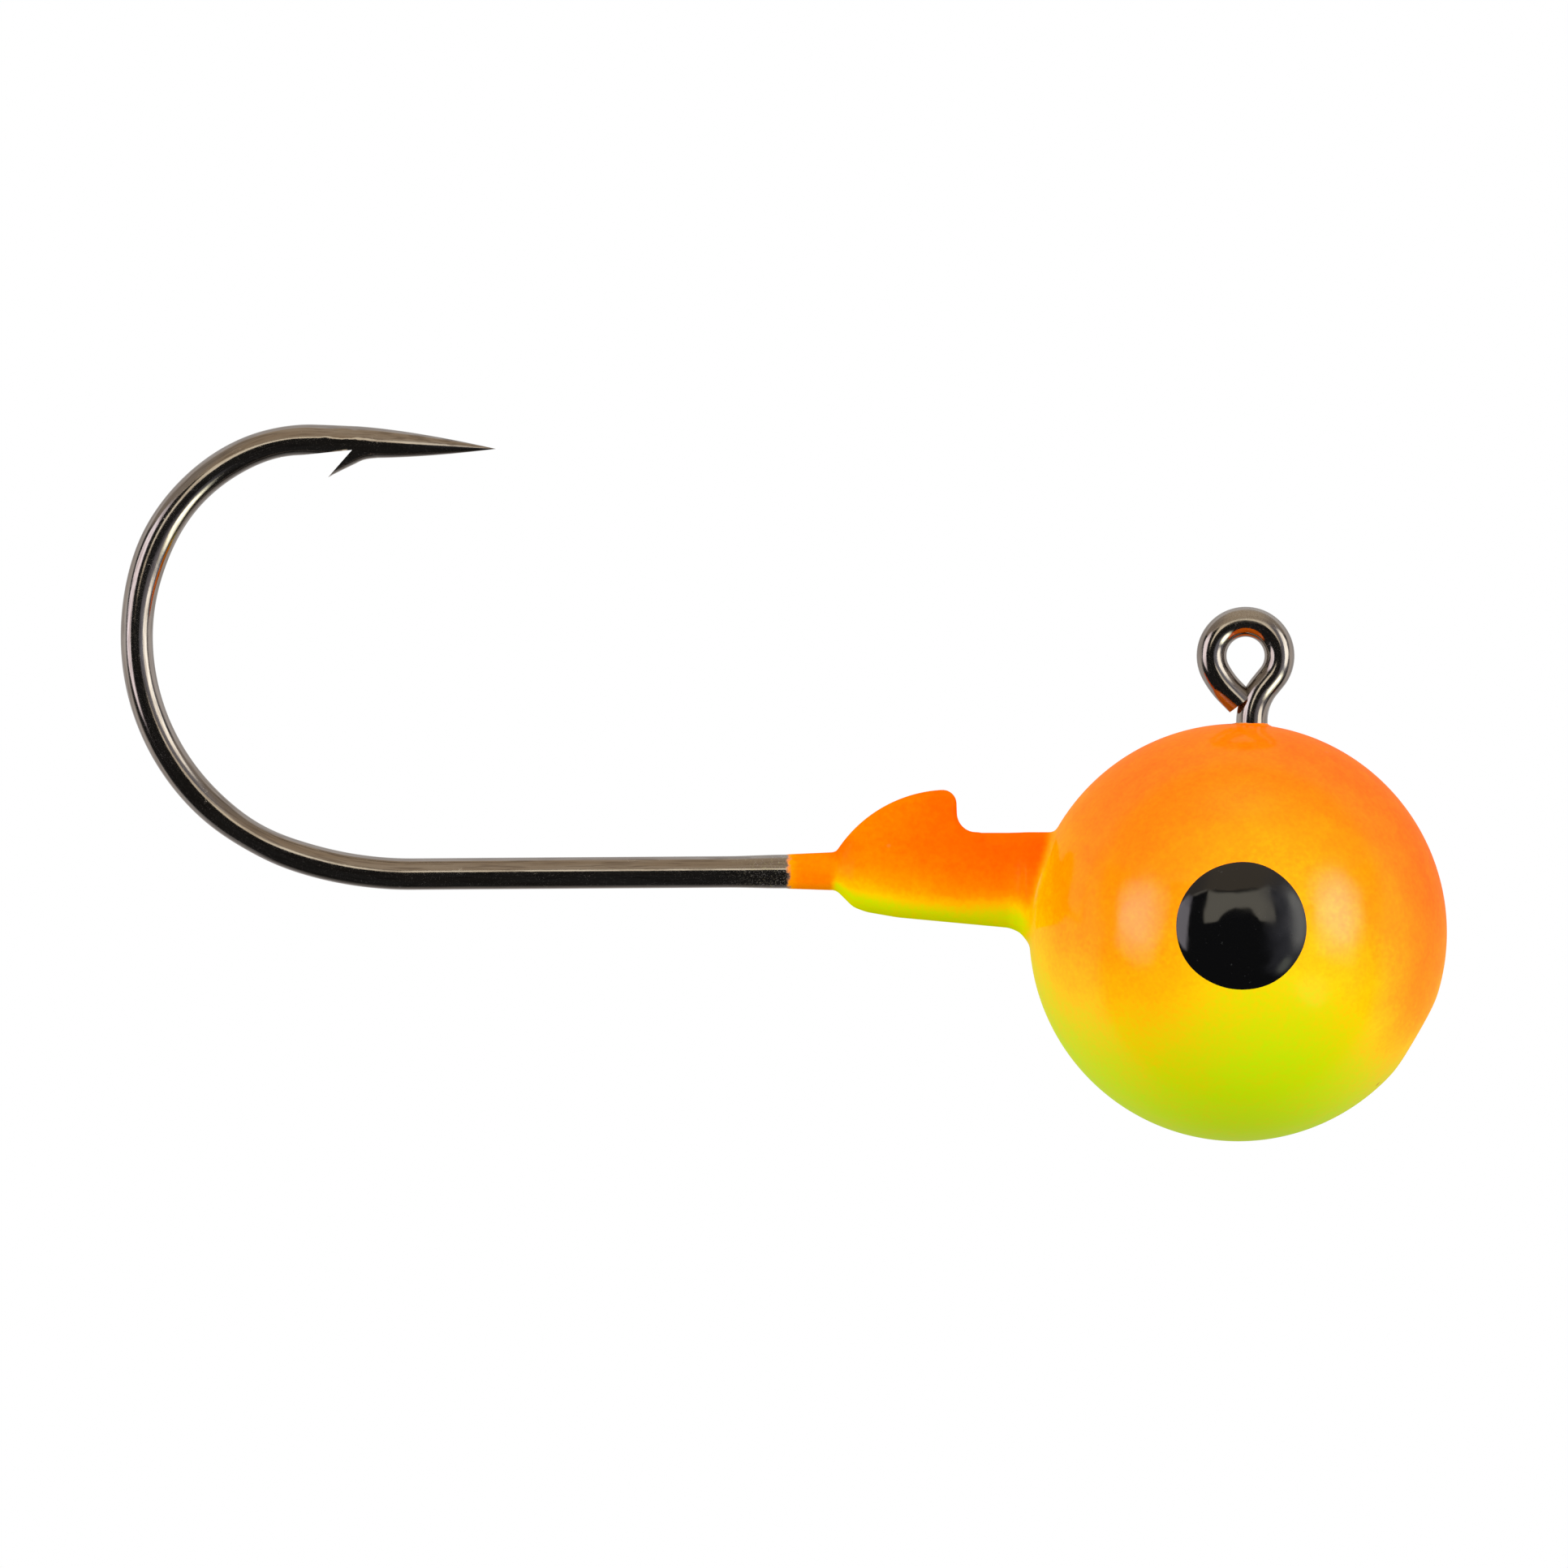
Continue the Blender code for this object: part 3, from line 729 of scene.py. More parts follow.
class Nodes:
    """A short way to write the nodes of a material, the world or a light."""

    def __init__(self, owner):
        self.owner = bpy.data.materials.new(owner) if isinstance(owner, str) else owner
        self.owner.use_nodes = True
        self.tree = self.owner.node_tree
        self.tree.nodes.clear()

    def add(self, kind, inputs=(), **settings):
        node = self.tree.nodes.new(kind)
        for key, value in settings.items():
            setattr(node, key, value)
        for key, value in dict(inputs).items():
            self.put(node, key, value)
        return node

    def put(self, node, key, value):
        if isinstance(value, bpy.types.NodeSocket):
            self.tree.links.new(value, node.inputs[key])
        else:
            node.inputs[key].default_value = value

    def math(self, operation, *values):
        return self.add("ShaderNodeMath", enumerate(values), operation=operation).outputs[0]

    def plus(self, a, b):
        return self.math("ADD", a, b)

    def minus(self, a, b):
        return self.math("SUBTRACT", a, b)

    def times(self, a, b):
        return self.math("MULTIPLY", a, b)

    def uneven(self, where, scale, detail, size):
        """A noise round 0, as high as size from its lowest to its highest."""
        return self.times(self.minus(self.noise(where, scale, detail), 0.5), size)

    def vector(self, operation, a, b=(0, 0, 0)):
        """Arithmetic on vectors, which gives a number where the operation measures something."""
        outputs = self.add("ShaderNodeVectorMath", {0: a, 1: b}, operation=operation).outputs
        return outputs["Value" if operation in ("DISTANCE", "DOT_PRODUCT", "LENGTH") else "Vector"]

    def scaled(self, where, scale):
        return self.vector("MULTIPLY", where, scale)

    def axes(self, where):
        return self.add("ShaderNodeSeparateXYZ", {0: where}).outputs

    def noise(self, where, scale, detail=2.0, roughness=0.5):
        inputs = {"Vector": where, "Scale": scale, "Detail": detail, "Roughness": roughness}
        return self.add("ShaderNodeTexNoise", inputs).outputs["Fac"]

    def range(self, value, low, high, to_low=0.0, to_high=1.0):
        inputs = {"Value": value, "From Min": low, "From Max": high, "To Min": to_low, "To Max": to_high}
        return self.add("ShaderNodeMapRange", inputs, interpolation_type="SMOOTHSTEP").outputs["Result"]

    def mix(self, share, a, b):
        """A blend of two colours, which are the node's sockets 6 and 7."""
        return self.add("ShaderNodeMix", {"Factor": share, 6: a, 7: b}, data_type="RGBA").outputs[2]

    def mix_shaders(self, share, a, b):
        return self.add("ShaderNodeMixShader", {0: share, 1: a, 2: b}).outputs[0]

    def ramp(self, value, stops):
        node = self.add("ShaderNodeValToRGB", {"Fac": value})
        elements = node.color_ramp.elements
        while len(elements) < len(stops):
            elements.new(0.5)
        for element, (at, colour) in zip(elements, stops):
            element.position = at
            element.color = (*colour, 1.0)
        return node.outputs["Color"]

    def bump(self, height, distance, **under):
        """Raises the surface by height times distance, in metres, over the Normal given."""
        inputs = {"Height": height, "Distance": distance, "Strength": 1.0, **under}
        return self.add("ShaderNodeBump", inputs).outputs["Normal"]

    def place(self):
        """The place on the piece in millimetres."""
        return self.scaled(self.add("ShaderNodeTexCoord").outputs["Object"], (1 / METRES,) * 3)

    def surface(self, inputs):
        shader = self.add("ShaderNodeBsdfPrincipled", inputs)
        self.add("ShaderNodeOutputMaterial", {"Surface": shader.outputs[0]})


def hair_scratches(nodes, where, on_wire):
    """Thin contours of a noise, kept in a few places."""
    hair = nodes.noise(nodes.scaled(on_wire, (1.6, 1.6, 0.7)), 1.3, 2.0, 0.6)
    hair = nodes.math("ABSOLUTE", nodes.minus(hair, 0.5))
    kept = nodes.range(nodes.noise(where, 1.9), 0.58, 0.64)
    return nodes.times(nodes.range(hair, 0.005, 0.001), kept)


def overspray(nodes, where, x):
    """How much dust of the spray lies on the wire, which thins out away from the paint, and its colour."""
    near = nodes.times(nodes.range(x, -17.0, -14.4), nodes.range(x, -13.0, -13.5))
    dust = nodes.range(nodes.noise(where, 19.0, 2.0), 0.50, 0.76, 0.0, 0.48)
    dust = nodes.times(dust, nodes.math("POWER", near, 0.8))
    pale = nodes.range(nodes.noise(where, 6.0), 0.45, 0.60)
    return dust, nodes.mix(pale, (0.42, 0.41, 0.14, 1), (0.48, 0.46, 0.42, 1))


# Middle of the dents on the back of the spear, over the barb
BARB_BACK = (-28.6, 0.0, 7.0)


def barb_dents(nodes, where):
    """Dents on the back of the spear over the barb, left by the chisel's anvil."""
    from_barb = nodes.scaled(nodes.vector("SUBTRACT", where, BARB_BACK), (0.9, 0.5, 2.0))
    from_barb = nodes.vector("LENGTH", from_barb)
    return nodes.times(nodes.noise(where, 2.0, 1.0, 0.5), nodes.range(from_barb, 1.1, 0.3))


def nickel_material():
    """Black nickel over drawn wire: lines along it, blotches, speckle, scratches and a dented barb."""
    nodes = Nodes("black_nickel_wire")
    where = nodes.place()
    on_wire = nodes.add("ShaderNodeAttribute", attribute_name="wire_place").outputs["Vector"]
    x, _, z = nodes.axes(where)
    blotch = nodes.noise(where, 0.7, 3.0)
    grain = nodes.noise(where, 9.0, 4.0, 0.65)
    fine = nodes.noise(where, 30.0, 2.0)
    lines = nodes.noise(nodes.scaled(on_wire, (15.0, 15.0, 0.8)), 1.0, 3.0, 0.6)
    bands = nodes.noise(nodes.scaled(on_wire, (5.0, 5.0, 0.25)), 1.0, 2.0)
    hair = hair_scratches(nodes, where, on_wire)
    # The top of the ring is rubbed pale and dull where line and snaps pull on it
    rubbed = nodes.times(nodes.range(z, 0.75, 1.45), nodes.range(x, -3.0, -2.0))
    speckle = nodes.range(nodes.noise(where, 15.0, 3.0, 0.7), 0.55, 0.78, 0.0, 0.14)
    dust, dust_colour = overspray(nodes, where, x)
    loose = nodes.math("MAXIMUM", nodes.times(dust, 0.9), speckle)

    tone = nodes.mix(nodes.range(bands, 0.35, 0.65), (0.325, 0.300, 0.280, 1), (0.275, 0.240, 0.208, 1))
    tone = nodes.mix(nodes.range(lines, 0.48, 0.64, 0.0, 0.62), tone, (0.150, 0.125, 0.108, 1))
    tone = nodes.mix(nodes.range(blotch, 0.50, 0.72, 0.0, 0.35), tone, (0.250, 0.222, 0.200, 1))
    tone = nodes.mix(nodes.times(hair, 0.35), tone, (0.55, 0.53, 0.50, 1))
    rubbed_tone = nodes.times(rubbed, nodes.range(fine, 0.35, 0.65, 0.2, 0.7))
    tone = nodes.mix(rubbed_tone, tone, (0.44, 0.43, 0.41, 1))
    tone = nodes.mix(dust, tone, dust_colour)

    rough = nodes.plus(nodes.range(grain, 0.3, 0.75, 0.08, 0.14), nodes.times(rubbed, 0.20))
    rough = nodes.plus(rough, nodes.times(hair, 0.20))
    rough = nodes.plus(rough, nodes.times(loose, 0.3))

    height = nodes.plus(nodes.times(grain, 0.45), nodes.times(fine, 0.20))
    height = nodes.plus(height, nodes.times(lines, 0.35))
    nodes.surface({
        "Base Color": tone,
        "Metallic": nodes.minus(1.0, loose),
        "Roughness": rough,
        "Specular IOR Level": 0.5,
        "Normal": nodes.bump(barb_dents(nodes, where), 0.00006, Normal=nodes.bump(height, 0.0000018)),
    })
    return nodes.owner


def store_wire_place(item):
    """Each point's place on the wire: its offset from the centreline in the hook's plane, its offset across
    the plane, and how far along the wire it is."""
    p = places(item)
    stations = np.arange(0, WIRE_LENGTH, WIRE_STEP)
    line = np.array([path_at(WIRE, d) for d in stations])
    place = np.zeros_like(p)
    batch = 4000
    for start in range(0, len(p), batch):
        part = p[start:start + batch]
        apart = part[:, None, (0, 2)] - line[None, :, :2]
        nearest = (apart**2).sum(2).argmin(1)
        away = apart[np.arange(len(part)), nearest]
        sine, cosine = np.sin(line[nearest, 2]), np.cos(line[nearest, 2])
        in_plane = away[:, 1] * cosine - away[:, 0] * sine
        along = stations[nearest] + away[:, 0] * cosine + away[:, 1] * sine
        place[start:start + batch] = np.stack((in_plane, part[:, 1], along), axis=1)
    layer = item.data.attributes.new("wire_place", "FLOAT_VECTOR", "POINT")
    layer.data.foreach_set("vector", place.astype(np.float32).ravel())


# From bare lime to solid orange: (thickness of the orange, colour)
PAINT_RAMP = (
    (0.000, (0.57, 0.770, 0.000)),
    (0.101, (0.70, 0.700, 0.000)),
    (0.199, (0.84, 0.630, 0.000)),
    (0.274, (0.93, 0.558, 0.000)),
    (0.371, (1.00, 0.450, 0.000)),
    (0.508, (1.00, 0.300, 0.000)),
    (0.645, (1.00, 0.200, 0.000)),
    (0.820, (1.00, 0.119, 0.000)),
    (1.000, (1.00, 0.070, 0.000)),
)

# Specks of dirt in the paint: (place, radius, colour)
PAINT_FLAWS = (
    ((4.17, -1.10, -13.53), 0.14, (0.55, 0.22, 0.0, 1)),
    ((-9.44, -0.62, -4.75), 0.09, (0.50, 0.14, 0.02, 1)),
    ((-11.29, -0.88, -6.02), 0.11, (0.60, 0.18, 0.02, 1)),
    ((2.55, -1.81, -3.05), 0.09, (0.60, 0.16, 0.02, 1)),
)
SLEEVE_EDGE_X = -14.49
NECK_EDGE_Z = -2.13

# How much clear coat lies on the ball and on the collar, and how far from the ball it has thinned out
COAT_ON_BALL = 0.14
COAT_ON_COLLAR = 0.008
COAT_FADE = 0.2


def paint_material():
    """Lime enamel with orange airbrushed over it, under one clear coat. It thins out to bare, lacquered
    wire at the end of the sleeve, and to a cream edge at the neck."""
    nodes = Nodes("airbrushed_paint")
    where = nodes.place()
    x, _, z = nodes.axes(where)
    density = nodes.add("ShaderNodeAttribute", attribute_name="spray").outputs["Fac"]
    droplets = nodes.noise(where, 6.5, 3.0, 0.65)
    speckle = nodes.times(nodes.minus(droplets, 0.5), 0.20)
    density = nodes.plus(density, nodes.plus(speckle, nodes.uneven(where, 1.1, 2.0, 0.14)))
    colour = nodes.ramp(density, PAINT_RAMP)
    for spot, radius, shade in PAINT_FLAWS:
        flaw = nodes.range(nodes.vector("DISTANCE", where, spot), radius, radius * 0.4, 0.0, 0.75)
        colour = nodes.mix(nodes.times(flaw, nodes.range(droplets, 0.3, 0.5)), colour, shade)

    ragged = nodes.uneven(where, 6.0, 2.0, 0.30)
    bare = nodes.range(nodes.plus(x, ragged), SLEEVE_EDGE_X + 0.11, SLEEVE_EDGE_X - 0.06)
    grain = nodes.noise(where, 9.0, 4.0, 0.65)
    metal = nodes.mix(nodes.range(grain, 0.4, 0.6), (0.30, 0.28, 0.26, 1), (0.24, 0.22, 0.19, 1))
    colour = nodes.mix(bare, colour, metal)
    neck_edge = nodes.plus(z, nodes.times(ragged, 0.5))
    cream = nodes.range(neck_edge, NECK_EDGE_Z - 0.02, NECK_EDGE_Z + 0.03)
    cream = nodes.times(cream, nodes.range(x, NECK_X - 1.2, NECK_X - 1.0))
    colour = nodes.mix(cream, colour, (0.55, 0.42, 0.20, 1))

    from_ball = nodes.vector("DISTANCE", where, tuple(BALL))
    clear = nodes.range(from_ball, BALL_RADIUS, BALL_RADIUS + COAT_FADE, COAT_ON_BALL, COAT_ON_COLLAR)
    orange_peel = nodes.noise(where, 1.3, 3.0, 0.55)
    nodes.surface({
        "Base Color": colour,
        "Metallic": bare,
        "Roughness": nodes.range(bare, 0.0, 1.0, 0.45, 0.10),
        "Specular IOR Level": 0.0,
        "Coat Weight": clear,
        "Coat Roughness": 0.13,
        "Coat IOR": 1.9,
        "Normal": nodes.bump(droplets, 0.000002),
        "Coat Normal": nodes.bump(orange_peel, 0.000012),
    })
    return nodes.owner


def enamel_material():
    """Black enamel with specks of dust, and a haze that grows towards +X and makes it rougher there. On that
    side the black is also lifted a little and made bluer, a painted glow of the reflection of the light on
    that side.
    """
    nodes = Nodes("black_enamel_dot")
    where = nodes.place()
    specks = nodes.range(nodes.noise(where, 7.0, 3.0, 0.7), 0.66, 0.78)
    haze = nodes.noise(where, 1.2, 3.0)
    hazy_glowing_side = nodes.range(nodes.plus(nodes.axes(where)["X"], haze), 0.9, 2.4)
    # Painted reflection: towards +X the black is made a little lighter and bluer, a painted glow of the
    # light on that side; the haze there is also rougher
    painted_glow = nodes.times(nodes.range(haze, 0.30, 0.70), hazy_glowing_side)
    black = nodes.mix(painted_glow, (0.003, 0.003, 0.0033, 1), (0.011, 0.011, 0.015, 1))
    nodes.surface({
        "Base Color": nodes.mix(nodes.times(specks, 0.6), black, (0.06, 0.06, 0.06, 1)),
        "Roughness": nodes.plus(nodes.range(haze, 0.3, 0.8, 0.04, 0.10), nodes.times(hazy_glowing_side, 0.26)),
        "IOR": 1.52,
        "Normal": nodes.bump(nodes.noise(where, 0.9, 2.0), 0.000012),
    })
    return nodes.owner


def lead_material():
    """Cast lead, dull and mottled."""
    nodes = Nodes("cast_lead")
    cast = nodes.noise(nodes.place(), 2.2, 5.0, 0.6)
    nodes.surface({
        "Base Color": nodes.mix(cast, (0.20, 0.21, 0.22, 1), (0.36, 0.37, 0.39, 1)),
        "Metallic": 1.0,
        "Roughness": nodes.range(cast, 0.3, 0.7, 0.45, 0.65),
        "Normal": nodes.bump(cast, 0.00002),
    })
    return nodes.owner


# ---------------- paint: where the orange went


# Passes of the airbrush over the ball, on both sides: (angle in the hook's plane, angle to the side,
# spread, strength)
SPRAY_PASSES = (
    (57.0, 28.0, 0.240, 0.575),
    (126.0, 28.5, 0.218, 0.530),
    (13.0, 18.5, 0.095, 0.375),
    (215.0, 55.0, 0.082, 0.190),
    (178.0, 33.0, 0.110, 0.285),
    (146.0, 72.5, 0.110, 0.260),
    (3.5, 60.0, 0.078, 0.220),
    (-22.0, 23.5, 0.083, 0.400),
)

# How the orange thins from the top of the collar, 1, to its underside, 0
SPRAY_HEIGHTS = (0.0, 0.1, 0.2, 0.3, 0.4, 0.6, 0.8, 1.0)
SPRAY_THICKNESSES = (0.06, 0.14, 0.33, 0.52, 0.62, 0.76, 0.84, 0.92)
SPRAY_LEAST = 0.09
SPRAY_ON_SLEEVE = 0.67


def spray_on_ball(p):
    away = p - BALL
    away = away / np.linalg.norm(away, axis=1)[:, None]
    total = np.zeros(len(p))
    for around, aside, spread, strength in SPRAY_PASSES:
        a, s = math.radians(around), math.radians(aside)
        for side in (-1, 1):
            aim = np.array((math.cos(s) * math.cos(a), side * math.sin(s), math.cos(s) * math.sin(a)))
            total += strength * np.exp(-(1 - away @ aim) / spread)
    return total


def spray_on_collar(p):
    """It lies thinner towards the tail, over the fin, and on the underside near the ball."""
    x, z = p[:, 0], p[:, 2]
    sections = collar_sections()
    top, bottom = (np.interp(x, sections[:, 0], sections[:, column]) for column in (1, 2))
    height = (z - bottom) / (top - bottom)
    total = np.interp(height, SPRAY_HEIGHTS, SPRAY_THICKNESSES)
    total = total - 0.15 * smooth_step(-9.0, -12.6, x)
    total = total - 0.10 * smooth_step(-6.2, -5.5, z)
    total = total - 0.10 * smooth_step(-9.0, -7.2, x) * smooth_step(0.45, 0.25, height)
    total = np.maximum(total, SPRAY_LEAST)
    on_sleeve = SPRAY_ON_SLEEVE - 0.10 * smooth_step(0.4, 0.0, height) - 0.15 * smooth_step(-14.1, -14.5, x)
    return total + (on_sleeve - total) * smooth_step(-12.9, -13.2, x)


def store_spray(item):
    """How thick the orange lies over the lime at each point, 0 to 1."""
    p = places(item)
    on_ball, on_collar = spray_on_ball(p), spray_on_collar(p)
    share = smooth_step(BALL_RADIUS + 0.35, BALL_RADIUS + 0.02, np.linalg.norm(p - BALL, axis=1))
    density = on_collar + (on_ball - on_collar) * share
    layer = item.data.attributes.new("spray", "FLOAT", "POINT")
    layer.data.foreach_set("value", density.astype(np.float32))


# ---------------- stage


# Lights as the gloss shows them: (angle round from the camera, angle up), (half width, half height), where
# their soft edge ends and begins, radiance
REFLECTED_LIGHTS = (
    ((50, 2), (0.52, 0.60), (1.6, 0.0), (0.45, 0.45, 0.52)),
    ((58, 9), (0.27, 0.42), (1.4, 0.5), (3.2, 3.15, 2.9)),
    ((-57, 7), (0.28, 0.36), (1.4, 0.5), (2.6, 2.4, 2.6)),
    ((46, -29.5), (0.17, 0.11), (1.5, 0.3), (1.5, 1.55, 1.3)),
)

# What the lights face, and what makes up for the light that their soft rims lose
LIT_POINT = (-2.0, 0.0, -7.0)
LAMP_GAIN = 2.2

FLOOR_HALF = 400.0
FLOOR_Z = -60.0
CAMERA_PLACE = (-14.602, -1378.0, -4.057)
CAMERA_LENS = 1000.0


def towards(where):
    """A direction from an angle round from the camera and an angle up."""
    around, up = (math.radians(angle) for angle in where)
    return Vector((math.sin(around) * math.cos(up), -math.cos(around) * math.cos(up), math.sin(up)))


def soft_patch(nodes, direction, where, size, edge):
    """1 inside an oval of directions, with a soft and uneven edge, 0 outside it."""
    out = towards(where)
    # A light below the camera's height leans with the circle of directions round the view
    if where[1] < 0:
        tall = Vector((0, 1, 0)).cross(out).normalized()
    else:
        tall = (Vector((0, 0, 1)) - out * out.z).normalized()
    parts = []
    for axis, reach in ((out.cross(tall), size[0]), (tall, size[1])):
        along = nodes.math("ABSOLUTE", nodes.vector("DOT_PRODUCT", direction, axis / reach))
        parts.append(nodes.math("POWER", along, 2.6))
    reach = nodes.plus(nodes.plus(*parts), nodes.uneven(direction, 4.0, 3.0, 1.6))
    facing = nodes.vector("DOT_PRODUCT", direction, out)
    return nodes.times(nodes.range(reach, *edge), nodes.range(facing, 0.2, 0.4))


def front_studio(nodes, direction, axes):
    """The dark room in front, with a pale panel over the camera and a warm ceiling over and beside it."""
    aside = nodes.math("ABSOLUTE", axes[0])
    # The panel is hollow along its top, and the camera stands dark against its lower edge
    bow = nodes.times(axes[0], axes[0])
    panel_top = nodes.plus(nodes.times(bow, 0.9), nodes.times(axes[0], 0.10))
    panel_top = nodes.plus(0.40, panel_top)
    hump = nodes.math("EXPONENT", nodes.times(nodes.times(bow, bow), -950.0))
    hump = nodes.plus(hump, nodes.times(nodes.noise(direction, 14.0, 2.0), 0.35))
    panel_foot = nodes.plus(0.08, nodes.times(hump, 0.12))
    panel = nodes.range(nodes.minus(axes[2], panel_foot), -0.02, 0.02)
    panel = nodes.times(panel, nodes.range(nodes.minus(panel_top, axes[2]), -0.03, 0.03))
    panel = nodes.times(panel, nodes.range(aside, 0.38, 0.34))
    # The ceiling has a bright cornice along its foot, which rises to the sides
    ceiling = nodes.mix(nodes.range(aside, 0.30, 0.62), (0.74, 0.60, 0.44, 1), (0.50, 0.43, 0.36, 1))
    ceiling_foot = nodes.plus(panel_top, nodes.times(nodes.range(aside, 0.34, 0.50), -0.07))
    ceiling_foot = nodes.math("MINIMUM", nodes.plus(ceiling_foot, 0.03), 0.47)
    over_foot = nodes.minus(axes[2], ceiling_foot)
    cornice = nodes.times(nodes.range(aside, 0.36, 0.42), nodes.range(aside, 0.68, 0.55))
    cornice = nodes.times(cornice, nodes.range(over_foot, 0.05, 0.03))
    ceiling = nodes.mix(cornice, ceiling, (1.20, 1.08, 0.90, 1))
    studio = nodes.mix(nodes.range(over_foot, -0.02, 0.02), (0.030, 0.030, 0.030, 1), ceiling)
    return nodes.mix(panel, studio, (1.85, 1.70, 1.38, 1))


def make_world():
    """White for the camera, an even sky for matt surfaces, and for reflections a studio with a white
    backdrop behind the jig."""
    world = bpy.data.worlds.new("studio")
    bpy.context.scene.world = world
    nodes = Nodes(world)
    direction = nodes.add("ShaderNodeTexCoord").outputs["Generated"]
    axes = nodes.axes(direction)
    steep = nodes.math("ABSOLUTE", axes[2])
    behind = nodes.range(nodes.minus(axes[1], nodes.times(steep, 0.5)), -0.30, -0.02)
    backdrop = nodes.range(axes[1], 0.2, 0.95, 1.05, 0.72)
    backdrop = nodes.times(backdrop, nodes.range(axes[2], -0.97, -0.35, 0.20, 1.0))
    inputs = {0: (1.0, 0.96, 0.94), "Scale": backdrop}
    backdrop = nodes.add("ShaderNodeVectorMath", inputs, operation="SCALE").outputs[0]
    studio = nodes.mix(behind, front_studio(nodes, direction, axes), backdrop)
    for where, size, edge, radiance in REFLECTED_LIGHTS:
        studio = nodes.mix(soft_patch(nodes, direction, where, size, edge), studio, (*radiance, 1))
    sky = nodes.plus(0.86, nodes.times(axes[2], 0.24))
    rays = nodes.add("ShaderNodeLightPath").outputs
    lit = nodes.add("ShaderNodeBackground", {"Color": studio}).outputs[0]
    even = nodes.add("ShaderNodeBackground", {"Color": (1, 1, 1, 1), "Strength": sky}).outputs[0]
    plain = nodes.add("ShaderNodeBackground", {"Color": (1, 1, 1, 1)}).outputs[0]
    lit = nodes.mix_shaders(rays["Is Diffuse Ray"], lit, even)
    lit = nodes.mix_shaders(rays["Is Camera Ray"], lit, plain)
    nodes.add("ShaderNodeOutputWorld", {"Surface": lit})
    world.cycles.sampling_method = "NONE"


def make_floor():
    """A pale floor, seen through from below so that the underside shows."""
    corners = [(x * FLOOR_HALF, y * FLOOR_HALF, FLOOR_Z) for x, y in ((-1, -1), (1, -1), (1, 1), (-1, 1))]
    floor = make_object("pale_floor", corners, [(0, 1, 2, 3)])
    nodes = Nodes("pale_floor")
    camera_ray = nodes.add("ShaderNodeLightPath").outputs["Is Camera Ray"]
    white = nodes.add("ShaderNodeEmission", {"Color": (1, 1, 1, 1), "Strength": 1.0}).outputs[0]
    dim = nodes.add("ShaderNodeBsdfDiffuse", {"Color": (0.8, 0.8, 0.8, 1)}).outputs[0]
    below = nodes.add("ShaderNodeNewGeometry").outputs["Backfacing"]
    clear = nodes.add("ShaderNodeBsdfTransparent").outputs[0]
    surface = nodes.mix_shaders(below, nodes.mix_shaders(camera_ray, dim, white), clear)
    nodes.add("ShaderNodeOutputMaterial", {"Surface": surface})
    floor.data.materials.append(nodes.owner)
    floor.visible_glossy = False
    floor.visible_diffuse = False


def make_group(name, item):
    group = bpy.data.collections.new(name)
    group.objects.link(item)
    return group


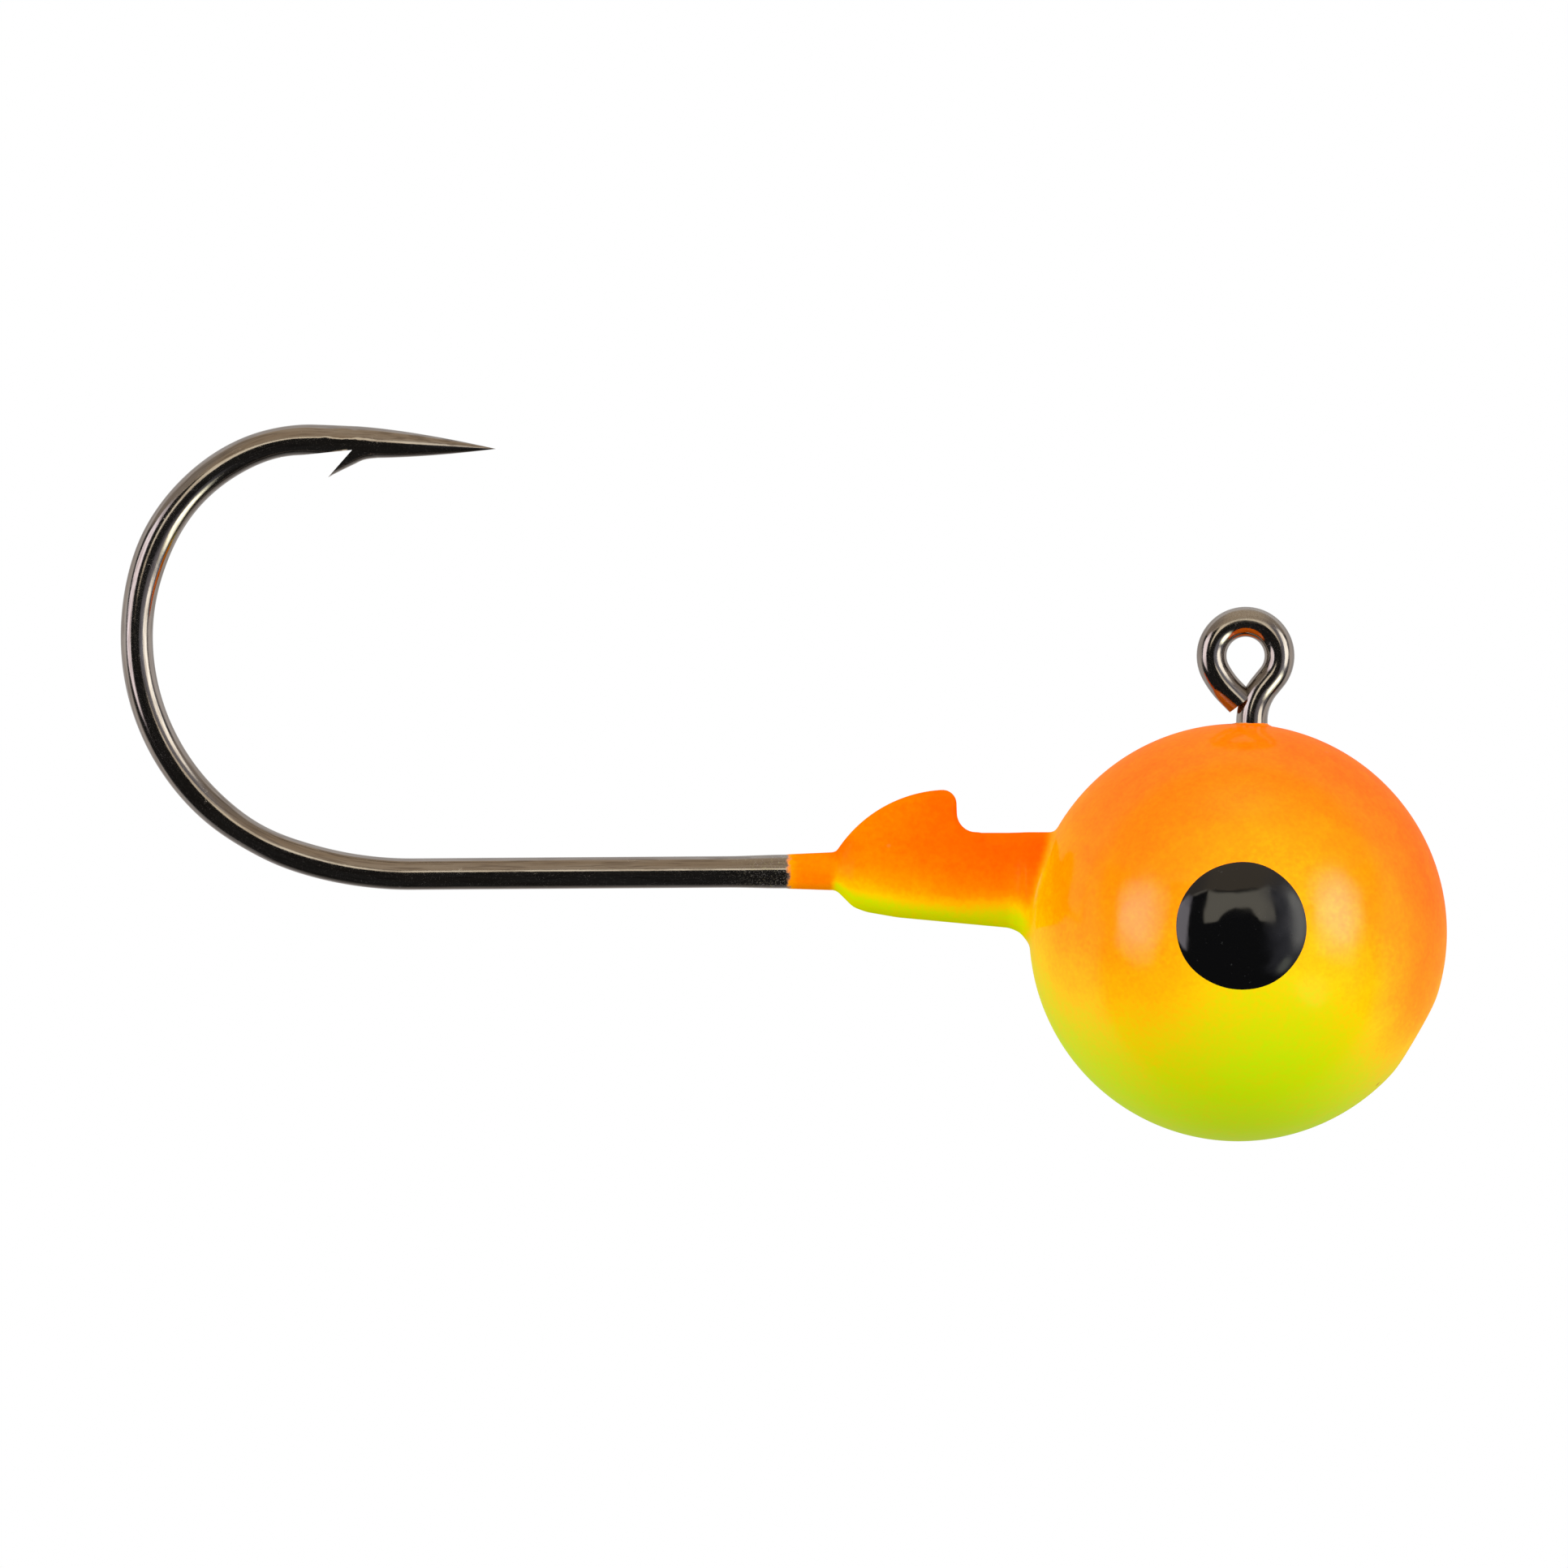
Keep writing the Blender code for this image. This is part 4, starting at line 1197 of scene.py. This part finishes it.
def add_light(name, where, distance, size, power, colour, receivers, gloss, lean=0.0):
    """A flat light on one piece, at an angle round from the camera and an angle up. It faces the ball."""
    light = bpy.data.lights.new(name, "AREA")
    light.shape = "ELLIPSE"
    light.size, light.size_y = size[0] * METRES, size[1] * METRES
    light.energy = power
    light.color = colour
    light.specular_factor = gloss
    # Full in the middle, fading out unevenly to the rim
    nodes = Nodes(light)
    across = nodes.add("ShaderNodeNewGeometry").outputs["Parametric"]
    from_middle = nodes.vector("DISTANCE", across, (0.5, 0.5, 0))
    reach = nodes.plus(from_middle, nodes.uneven(across, 3.0, 2.0, 0.30))
    glow = nodes.add("ShaderNodeEmission", {"Strength": nodes.range(reach, 0.48, 0.15, 0.0, LAMP_GAIN)})
    nodes.add("ShaderNodeOutputLight", {"Surface": glow.outputs[0]})
    lamp = bpy.data.objects.new(name, light)
    out = towards(where)
    lamp.location = (Vector(LIT_POINT) + out * distance) * METRES
    turn = out.to_track_quat("Z", "Y") @ Quaternion((0, 0, 1), math.radians(lean))
    lamp.rotation_euler = turn.to_euler()
    lamp.visible_camera = False
    lamp.visible_glossy = gloss > 0
    lamp.light_linking.receiver_collection = receivers
    bpy.context.scene.collection.objects.link(lamp)


def make_lights(paint, wire):
    """The softboxes and the light from above shine on the paint, and the low light shows in the wire."""
    on_paint = make_group("lit_paint", paint)
    on_wire = make_group("lit_wire", wire)
    add_light("softbox_right", (57, 10), 270, (170, 240), 0.36, (1.0, 0.97, 0.98), on_paint, 0.42)
    add_light("softbox_left", (-57, 7), 210, (124, 165), 0.141, (1.0, 0.97, 1.0), on_paint, 0.1)
    add_light("top_light", (0, 78), 300, (260, 200), 0.14, (1.0, 0.97, 0.93), on_paint, 0.0)
    add_light("low_light", (47, -30), 250, (230, 165), 0.178, (1.0, 1.02, 0.80), on_wire, 0.55, -25)


def make_camera():
    camera = bpy.data.cameras.new("camera")
    camera.lens = CAMERA_LENS
    camera.sensor_width = 36.0
    camera.clip_start = 0.001
    holder = bpy.data.objects.new("camera", camera)
    holder.location = Vector(CAMERA_PLACE) * METRES
    holder.rotation_euler = (math.radians(90), 0, 0)
    bpy.context.scene.collection.objects.link(holder)
    bpy.context.scene.camera = holder


# ---------------- putting it together


def finish_piece(item, material, slot, *nodes):
    item.data.materials.clear()
    item.data.materials.append(material)
    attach(item, BODY)
    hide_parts(*nodes)


make_camera()
make_world()
make_floor()

hook = make_hook()
store_wire_place(hook)
finish_piece(hook, nickel_material(), "black_nickel", "hook")
paint_skin = make_paint()
store_spray(paint_skin)
finish_piece(paint_skin, paint_material(), "paint", "paint_coat")
enamel = enamel_material()
finish_piece(make_eye("eye_dot_left", 1, 5), enamel, "black_enamel", "eye_left")
finish_piece(make_eye("eye_dot_right", -1, 8), enamel, "black_enamel", "eye_right")

make_lights(paint_skin, hook)

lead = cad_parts["lead_head"]
lead.data.materials.clear()
lead.data.materials.append(lead_material())

bpy.context.scene.view_settings.view_transform = "Standard"

bpy.context.view_layer.update()
